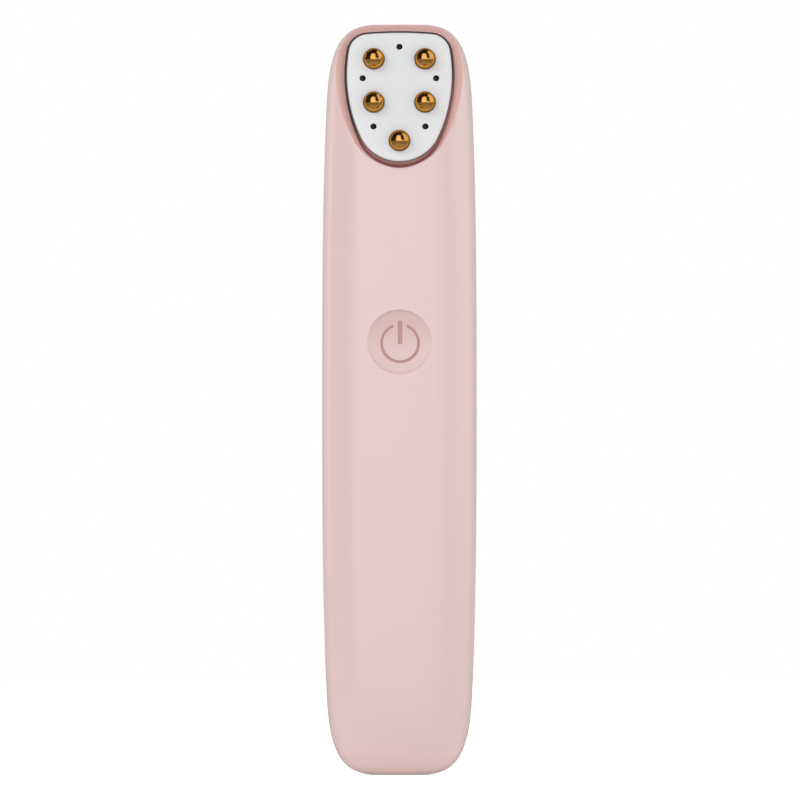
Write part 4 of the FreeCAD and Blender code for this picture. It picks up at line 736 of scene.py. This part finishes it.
def button_hole_shape():
    """The cutter of the button's hole and of the wider room behind its ledge."""
    profile = [(0, BUTTON_HOLE_FRONT), (BUTTON_HOLE, BUTTON_HOLE_FRONT), (BUTTON_HOLE, LEDGE_FRONT),
               (LEDGE_HOLE, LEDGE_FRONT), (LEDGE_HOLE, LEDGE_BACK), (0, LEDGE_BACK)]
    return turned(profile, BUTTON_TURN, button_place())


def slot_shape():
    """A bar with round ends through the flat end, for the socket."""
    shape = bmesh.new()
    reach = (SLOT_WIDTH - SLOT_HEIGHT) / 2
    point = shape.verts.new((reach, -SLOT_HEIGHT / 2, SLOT_START))
    for side in (1, -1):
        spun = bmesh.ops.spin(shape, geom=[point], cent=(side * reach, 0, SLOT_START),
                              axis=(0, 0, 1), angle=math.pi, steps=SLOT_TURN)
        last = next(item for item in spun["geom_last"] if isinstance(item, bmesh.types.BMVert))
        point = shape.verts.new((-side * reach, last.co.y, SLOT_START))
        shape.edges.new((last, point))
    bmesh.ops.remove_doubles(shape, verts=shape.verts, dist=SPIN_WELD)
    walk(shape, filled(shape, shape.edges), OUT, (0, SLOT_REACH))
    filled(shape, open_edges(shape))
    return tidy(shape)


def rear_cover_shape(sizes):
    """The rear cover: its skin, its wall and the lip that enters the front cover."""
    def heights(inset):
        low_end = end_heights(inset, REAR_END_ROWS)
        last = BODY_LENGTH - low_end[-1] - ROW_STEP / 2
        middle = spread((low_end[-1] + ROW_STEP, last, ROW_STEP))
        return np.concatenate((low_end, middle, BODY_LENGTH - low_end[::-1]))

    turns = np.radians(spread(*REAR_TURNS))
    outer = hull(turns, heights(0.0), 0.0)
    rim = halved(outer, SEAM, False)
    rim = walk(outer, rim, BACK, (REAR_RIM_WALL, 0), (0, -REAR_RIM_DEPTH))
    outer.faces.remove(rim)
    inner = hull(turns, heights(sizes.wall), sizes.wall)
    inner.faces.remove(halved(inner, SEAM - REAR_RIM_DEPTH, False))
    return joined_shell(outer, inner)


# ---- operators

class WandOperator(bpy.types.Operator):
    """Shared settings of the building steps."""

    bl_options = {"REGISTER", "UNDO"}


class BuildCovers(WandOperator):
    """Build the two moulded covers"""

    bl_idname = "wand.build_covers"
    bl_label = "Covers"

    def execute(self, context):
        sizes = context.scene.wand_sizes
        solid_piece("front_cover", front_cover_shape(sizes), ["shell_pink", "recess_painted_shade"],
                    "handle", ["front_shell"])
        solid_piece("rear_cover", rear_cover_shape(sizes), ["shell_pink"], "handle", ["rear_shell"])
        return {"FINISHED"}


def drop_ring(shape):
    """Widen the ring's outer side towards its lower end."""
    foot = SHIELD_BOTTOM[1] - SHIELD_BOTTOM[0]
    for vert in shape.verts:
        outside = float(shield_distance(vert.co.x, vert.co.y)) - RING_MOUTH
        if vert.co.y < 0 and vert.co.z > 0 and outside > 0:
            vert.co.y *= 1 + RING_DROP * outside / (RING_GROW - RING_MOUTH) / foot


class BuildRing(WandOperator):
    """Build the clear ring round the plate"""

    bl_idname = "wand.build_ring"
    bl_label = "Clear ring"

    def execute(self, context):
        crown = context.scene.wand_sizes.ring_crown
        width = RING_GROW - RING_MOUTH - 2 * RING_EDGE
        shape = bmesh.new()
        face = shield_face(shape, RING_GROW, RING_LOW)
        face = walk(shape, face, OUT, (0, RING_HIGH - RING_LOW - crown))
        turns = np.linspace(0, math.pi / 2, RING_STEPS)
        for turn, further in zip(turns, turns[1:]):
            inward = (math.cos(turn) - math.cos(further)) * width
            face = walk(shape, face, OUT, (inward, (math.sin(further) - math.sin(turn)) * crown))
        face = walk(shape, face, OUT, (RING_EDGE, 0), (RING_EDGE, -RING_EDGE),
                    (0, PLATE_LOW - RING_HIGH + RING_EDGE), (RING_MOUTH - RING_OPENING, 0),
                    (0, -PLATE_LOW - SEAT_THICKNESS))
        shape.faces.remove(face)
        under = filled(shape, open_edges(shape, lambda edge: edge.verts[0].co.z > 0))
        under = walk(shape, under, OUT, (RING_GROW - RING_SKIRT, 0),
                     (0, -RING_LOW - SEAT_THICKNESS), (RING_SKIRT - RING_OPENING, 0))
        shape.faces.remove(under)
        drop_ring(shape)
        bmesh.ops.transform(shape, matrix=face_place(), verts=shape.verts)
        solid_piece("clear_ring", tidy(shape, RING_WELD), ["clear_ring"], "handle", ["head_ring"])
        return {"FINISHED"}


class BuildPlate(WandOperator):
    """Build the treatment plate with its holes"""

    bl_idname = "wand.build_plate"
    bl_label = "Treatment plate"

    def execute(self, context):
        sizes = context.scene.wand_sizes
        shape, top = shield_slab(PLATE_GROW, PLATE_LOW, PLATE_HIGH)
        bmesh.ops.bevel(shape, geom=top.edges[:], offset=sizes.plate_round, offset_type="OFFSET",
                        segments=PLATE_SEGMENTS, profile=0.5, affect="EDGES", material=-1)
        groove = math.sqrt(sizes.bead_radius ** 2 - BEAD_LIFT ** 2) + GROOVE_GAP
        floor = PLATE_HIGH - GROOVE_DEPTH
        bead_hole = [(BEAD_HOLE, 0), (BEAD_HOLE, floor), (groove, floor), (groove, CUT_TOP)]
        lens_hole = [(LENS_HOLE, 0), (LENS_HOLE, CUT_TOP)]
        tools = []
        for spots, hole in ((BEAD_SPOTS, bead_hole), (LENS_SPOTS, lens_hole)):
            for x, u in spots:
                place = Matrix.Translation((x * MM, u * MM, 0))
                tools.append(turned([(0, 0), *hole, (0, CUT_TOP)], HOLE_TURN, place))
        shape = carved(tidy(shape), *tools)
        bmesh.ops.transform(shape, matrix=face_place(), verts=shape.verts)
        solid_piece("face_plate", shape, ["plate_white"], "handle", ["treatment_plate"], FLAT_ANGLE)
        return {"FINISHED"}


def build_studs(name, slot, node, spots, profile, steps):
    """Build a row of turned pieces that stand in the treatment face."""
    for index, (x, u) in enumerate(spots, start=1):
        shape = turned(profile, steps, face_place(x * MM, u * MM))
        solid_piece(f"{name}_{index}", shape, [slot], "handle", [f"{node}_{index}"])


class BuildBeads(WandOperator):
    """Build the five gold beads on their stems"""

    bl_idname = "wand.build_beads"
    bl_label = "Massage beads"

    def execute(self, context):
        ball = context.scene.wand_sizes.bead_radius
        centre, foot = PLATE_HIGH + BEAD_LIFT, PLATE_HIGH - BEAD_SINK
        arc = [
            (ball * math.cos(turn), centre + ball * math.sin(turn))
            for turn in np.linspace(math.pi / 2, math.asin((foot - centre) / ball), BEAD_STEPS)
        ]
        arc[0] = (0, centre + ball)
        stem = [(BEAD_STEM, foot), (BEAD_STEM, STEM_FOOT), (0, STEM_FOOT)]
        build_studs("gold_bead", "bead_gold", "massage_bead", BEAD_SPOTS, arc + stem, BEAD_TURN)
        return {"FINISHED"}


class BuildLights(WandOperator):
    """Build the five dark light pipes"""

    bl_idname = "wand.build_lights"
    bl_label = "Light pipes"

    def execute(self, context):
        dome = [(LENS_RADIUS * share, PLATE_HIGH + LENS_CROWN * (1 - share ** 2))
                for share in np.linspace(0, 1, LENS_STEPS)]
        pipe = dome + [(LENS_RADIUS, LENS_FOOT), (0, LENS_FOOT)]
        build_studs("light_pipe", "lens_dark", "led_lens", LENS_SPOTS, pipe, LENS_TURN)
        return {"FINISHED"}


def dish(radius):
    """How far forwards the button's dish stands at a radius."""
    return DISH_CENTRE - math.sqrt(DISH_BALL ** 2 - radius ** 2)


class BuildButton(WandOperator):
    """Build the dished power button with its engraved mark"""

    bl_idname = "wand.build_button"
    bl_label = "Power button"

    def execute(self, context):
        radius = context.scene.wand_sizes.button_radius
        depth = context.scene.wand_sizes.mark_depth
        face = np.linspace(0, 1, DISH_STEPS) * (radius - CAP_EDGE)
        profile = [(reach, dish(reach)) for reach in face]
        profile += [
            (radius, dish(radius - CAP_EDGE) - CAP_EDGE), (radius, FLANGE_FRONT),
            (FLANGE, FLANGE_FRONT), (FLANGE, FLANGE_BACK), (HOLLOW, FLANGE_BACK),
            (HOLLOW, HOLLOW_FRONT), (STEM, HOLLOW_FRONT), (STEM, STEM_BACK), (0, STEM_BACK),
        ]
        shape = carved(turned(profile, BUTTON_TURN), ring_tool(depth), bar_tool(depth))
        bmesh.ops.transform(shape, matrix=button_place(), verts=shape.verts)
        solid_piece("dished_button", shape, ["button_pink", "mark_pink"], "button",
                    ["power_button"], FLAT_ANGLE)
        return {"FINISHED"}


def marked(tool):
    """A tool whose cuts take the mark's colour."""
    for face in tool.faces:
        face.material_index = 1
    return tidy(tool)


def ring_tool(depth):
    """The cutter of the mark's open ring."""
    tool = bmesh.new()
    opening = math.asin(MARK_OPENING / ((MARK_INNER + MARK_OUTER) / 2))
    corners = [(MARK_INNER, MARK_FRONT), (MARK_OUTER, MARK_FRONT),
               (MARK_OUTER, dish(MARK_OUTER) - depth), (MARK_INNER, dish(MARK_INNER) - depth)]
    points = [tool.verts.new((0, radius, lift)) for radius, lift in corners]
    bmesh.ops.rotate(tool, verts=points, cent=(0, 0, 0), matrix=Matrix.Rotation(opening, 3, "Z"))
    lines = [tool.edges.new((points[index], points[(index + 1) % 4])) for index in range(4)]
    bmesh.ops.spin(tool, geom=points + lines, cent=(0, 0, 0), axis=(0, 0, 1),
                   angle=2 * math.pi - 2 * opening, steps=MARK_TURN)
    bmesh.ops.holes_fill(tool, edges=open_edges(tool), sides=4)
    bmesh.ops.translate(tool, verts=tool.verts, vec=MARK_CENTRE)
    return marked(tool)


def bar_tool(depth):
    """The cutter of the mark's bar, with a floor that follows the dish."""
    tool = bmesh.new()
    bmesh.ops.create_cube(tool, size=1.0)
    bmesh.ops.scale(tool, vec=(BAR_HALF * 2, BAR_HEAD - BAR_FOOT, MARK_FRONT), verts=tool.verts)
    middle = Vector((0, (BAR_HEAD + BAR_FOOT) / 2, MARK_FRONT / 2))
    bmesh.ops.translate(tool, vec=middle + MARK_CENTRE, verts=tool.verts)
    for share in BAR_CUTS:
        bmesh.ops.bisect_plane(tool, geom=tool.verts[:] + tool.edges[:] + tool.faces[:], dist=WELD,
                               plane_co=(0, share * BAR_HEAD, 0), plane_no=(0, 1, 0))
    for vert in tool.verts:
        if vert.co.z < MARK_FRONT / 2:
            vert.co.z = dish(math.hypot(vert.co.x, vert.co.y)) - depth
    return marked(tool)


class FinishInside(WandOperator):
    """Give every piece that keeps its own mesh its finish"""

    bl_idname = "wand.finish_inside"
    bl_label = "Inner pieces"

    def execute(self, context):
        slots = {part["node"]: part["material_slot"] for part in frame["record"]["subparts"]}
        for name, node in frame["nodes"].items():
            node.data.materials.clear()
            node.data.materials.append(material(slots[name]))
        return {"FINISHED"}


class BuildMaterials(WandOperator):
    """Build the shared finishes and every material"""

    bl_idname = "wand.build_materials"
    bl_label = "Materials"

    def execute(self, context):
        colours = context.scene.wand_colours
        groups = build_groups()
        for slot, (group, colour, *settings) in FINISHES.items():
            if isinstance(colour, str):
                colour = getattr(colours, colour)
            build_material(slot, groups[group], colour, *settings)
        # Painted shade: the clear ring darkens towards its upper left.
        painted_shade("clear_ring", colours.ring_smoke, RING_SHADE_WAY, *RING_SHADE_SPAN)
        return {"FINISHED"}


# ---- the stage

# The camera's distance, the width that it sees and the spot that it looks at.
CAMERA_DISTANCE = 6.0
VIEW_WIDTH = 149.4 * MM
VIEW_MIDDLE = Vector((0.11, 0, 69.96)) * MM
STAGE_MIDDLE = Vector((0, 0, 70)) * MM
SENSOR = 36.0
CLIP_END = 40

# How bright the surround and the floor are to the rays that don't show them as a background.
AMBIENT = 0.86
FLOOR_AMBIENT = 0.76
SEEING_RAYS = ("Is Camera Ray", "Is Glossy Ray", "Is Transmission Ray")

# The floor: half its width, how far it lies under the wand, and what it reflects and gives off.
FLOOR_HALF, FLOOR_DROP = 2.0, 0.05 * MM
FLOOR_COLOUR, FLOOR_GLOW = (0.8, 0.8, 0.8, 1), (0.5, 0.5, 0.5, 1)

# Lamps: name, azimuth, elevation, distance, size and power. Azimuth turns from front to right.
LAMPS = [
    ("key", -55, 38, 1.7, 0.9, 7.0),
    ("fill", 78, 2, 1.9, 1.2, 7.0),
]

CARD_DISTANCE, CARD_GRID = 1.4, 12

# The front softbox, in degrees: its ends, and half its width and its middle, each at the foot and
# in the dome, with how fast it goes from the one to the other.
BOX_LOW, BOX_HIGH, BOX_TIP = -9, 54, 1.001
BOX_HALVES, BOX_HALVES_RUN = (31, 24), 6
BOX_MIDDLES, BOX_MIDDLES_RUN = (1, -14), 3

# The flag over the wand, the card on the floor and the brighter patch in its middle.
TOP_FLAG_HALF, TOP_FLAG_ARC = 1.2, (60, 150)
LOW_CARD_HALF, LOW_CARD_HEIGHT = 2.0, 0.02 * MM
GLOW_TURNS, GLOW_REACHES, GLOW_HEIGHT = (-100, 100), (0.015, 0.17), 0.04 * MM


def aim(azimuth, elevation):
    """The direction at an azimuth and an elevation, in degrees, as seen from the wand."""
    turn, rise = math.radians(azimuth), math.radians(elevation)
    level = math.cos(rise)
    return Vector((math.sin(turn) * level, -math.cos(turn) * level, math.sin(rise)))


def span(low, high, share):
    """A value part of the way from one to another."""
    return low + (high - low) * share


def patch_spot(left, right, low, high):
    """Where a card's points stand, between two azimuths and two elevations."""
    def spot(across, up):
        return STAGE_MIDDLE + aim(span(left, right, across), span(low, high, up)) * CARD_DISTANCE
    return spot


def front_box_spot(across, up):
    """Where the points of the big front softbox stand: a dome over a broad foot."""
    elevation = span(BOX_LOW, BOX_HIGH, up)
    rise = max(0, elevation) / BOX_HIGH
    half = span(*BOX_HALVES, min(1, rise * BOX_HALVES_RUN)) * math.sqrt(BOX_TIP - rise ** 2)
    azimuth = span(*BOX_MIDDLES, min(1, rise * BOX_MIDDLES_RUN)) + half * (2 * across - 1)
    return STAGE_MIDDLE + aim(azimuth, elevation) * CARD_DISTANCE


def top_flag_spot(across, up):
    """Where the points of the flag over the wand stand."""
    turn = math.radians(span(*TOP_FLAG_ARC, up))
    side = span(-TOP_FLAG_HALF, TOP_FLAG_HALF, across)
    return STAGE_MIDDLE + Vector((side, -math.cos(turn), math.sin(turn))) * CARD_DISTANCE


def low_card_spot(across, up):
    """Where the points of the card on the floor round the wand stand."""
    x, y = (span(-LOW_CARD_HALF, LOW_CARD_HALF, share) for share in (across, up))
    return Vector((x, y, LOW_CARD_HEIGHT))


def floor_glow_spot(across, up):
    """Where the points of the brighter patch on the floor before the wand stand."""
    spot = aim(span(*GLOW_TURNS, across), 0) * span(*GLOW_REACHES, up)
    return spot + Vector((0, 0, GLOW_HEIGHT))


# Cards that only reflections see: name, brightness and where their points stand.
CARDS = [
    ("left_flag", 0.02, patch_spot(-110, -38, -6, 62)),
    ("right_flag", 0.02, patch_spot(20, 56, 8, 64)),
    ("right_box", 1.0, patch_spot(62, 128, -2, 66)),
    ("back_card", 0.4, patch_spot(122, 238, -2, 60)),
    ("front_box", 1.4, front_box_spot),
    ("top_flag", 0.02, top_flag_spot),
    ("low_card", 0.27, low_card_spot),
    ("floor_glow", 0.42, floor_glow_spot),
]


def white_when_seen(tree, level):
    """A strength of 1 for the kinds of ray that show the background, and a level for the rest."""
    path = tree.nodes.new("ShaderNodeLightPath")
    seen = 0.0
    for ray in SEEING_RAYS:
        seen = maths(tree, "MAXIMUM", path.outputs[ray], seen)
    return maths(tree, "MULTIPLY_ADD", seen, 1 - level, level)


def build_floor():
    """A pale floor that looks white except where the wand's shadow lies."""
    surface = bpy.data.materials.new("floor_white")
    surface.use_nodes = True
    tree = surface.node_tree
    shader = tree.nodes["Principled BSDF"]
    shader.inputs["Base Color"].default_value = FLOOR_COLOUR
    shader.inputs["Roughness"].default_value = 0.9
    shader.inputs["Specular IOR Level"].default_value = 0.0
    shader.inputs["Emission Color"].default_value = FLOOR_GLOW
    tree.links.new(white_when_seen(tree, FLOOR_AMBIENT), shader.inputs["Emission Strength"])
    shape = bmesh.new()
    bmesh.ops.create_grid(shape, x_segments=1, y_segments=1, size=FLOOR_HALF)
    bmesh.ops.translate(shape, vec=(0, 0, -FLOOR_DROP), verts=shape.verts)
    mesh = mesh_of("floor", shape)
    mesh.materials.append(surface)
    floor = linked("floor", mesh)


def build_world():
    """A white surround that lights the wand evenly."""
    world = bpy.data.worlds.new("studio")
    bpy.context.scene.world = world
    world.use_nodes = True
    tree = world.node_tree
    background = tree.nodes["Background"]
    background.inputs["Color"].default_value = (1, 1, 1, 1)
    tree.links.new(white_when_seen(tree, AMBIENT), background.inputs["Strength"])


def build_lamp(name, azimuth, elevation, distance, size, power):
    """A soft square lamp aimed at the wand."""
    lamp = bpy.data.lights.new(name, "AREA")
    lamp.shape = "SQUARE"
    lamp.size, lamp.energy = size, power
    item = linked(name, lamp)
    item.location = STAGE_MIDDLE + aim(azimuth, elevation) * distance
    item.rotation_euler = aim(azimuth, elevation).to_track_quat("Z", "Y").to_euler()
    item.visible_camera = False
    item.visible_glossy = False


def build_card(name, strength, spot):
    """A card of a plain brightness, made from a grid whose points are placed round the wand."""
    shape = bmesh.new()
    bmesh.ops.create_grid(shape, x_segments=CARD_GRID, y_segments=CARD_GRID, size=0.5)
    for vert in shape.verts:
        vert.co = spot(vert.co.x + 0.5, vert.co.y + 0.5)
    mesh = mesh_of(name, shape)
    surface = bpy.data.materials.new(name)
    surface.use_nodes = True
    tree = surface.node_tree
    tree.nodes.clear()
    glow = tree.nodes.new("ShaderNodeEmission")
    glow.inputs["Color"].default_value = (1, 1, 1, 1)
    glow.inputs["Strength"].default_value = strength
    result = tree.nodes.new("ShaderNodeOutputMaterial")
    tree.links.new(glow.outputs["Emission"], result.inputs["Surface"])
    mesh.materials.append(surface)
    item = linked(name, mesh)
    for rays in ("camera", "diffuse", "transmission", "volume_scatter", "shadow"):
        setattr(item, f"visible_{rays}", False)


class BuildStage(WandOperator):
    """Build the floor, the surround, the lamps, the cards and the camera"""

    bl_idname = "wand.build_stage"
    bl_label = "Stage"

    def execute(self, context):
        scene = context.scene
        scene.view_settings.view_transform = "Standard"
        build_floor()
        build_world()
        for lamp in LAMPS:
            build_lamp(*lamp)
        for card in CARDS:
            build_card(*card)
        camera = linked("camera", bpy.data.cameras.new("camera"))
        camera.data.sensor_width = SENSOR
        camera.data.lens = SENSOR * CAMERA_DISTANCE / VIEW_WIDTH
        camera.data.clip_end = CLIP_END
        camera.location = VIEW_MIDDLE + Vector((0, -CAMERA_DISTANCE, 0))
        camera.rotation_euler = (math.pi / 2, 0, 0)
        scene.camera = camera
        return {"FINISHED"}


class WandPanel(bpy.types.Panel):
    """The wand's sizes, colours and building steps"""

    bl_idname = "VIEW3D_PT_massager_wand"
    bl_label = "Massager Wand"
    bl_space_type = "VIEW_3D"
    bl_region_type = "UI"
    bl_category = "Massager Wand"

    def draw(self, context):
        for group in (context.scene.wand_sizes, context.scene.wand_colours):
            box = self.layout.box()
            for name in group.__annotations__:
                box.prop(group, name)
        for step in STEPS:
            self.layout.operator(step.bl_idname)


STEPS = (
    BuildMaterials,
    FinishInside,
    BuildCovers,
    BuildRing,
    BuildPlate,
    BuildBeads,
    BuildLights,
    BuildButton,
    BuildStage,
)
CLASSES = (WandSizes, WandColours, *STEPS, WandPanel)


def register():
    """Add the classes and the scene's settings."""
    for item in CLASSES:
        bpy.utils.register_class(item)
    bpy.types.Scene.wand_sizes = PointerProperty(type=WandSizes)
    bpy.types.Scene.wand_colours = PointerProperty(type=WandColours)


def unregister():
    """Take the settings and the classes away again."""
    del bpy.types.Scene.wand_colours
    del bpy.types.Scene.wand_sizes
    for item in reversed(CLASSES):
        bpy.utils.unregister_class(item)


def main():
    """Build everything in order."""
    register()
    for step in STEPS:
        getattr(bpy.ops.wand, step.bl_idname.split(".")[1])()


if __name__ == "__main__":
    main()
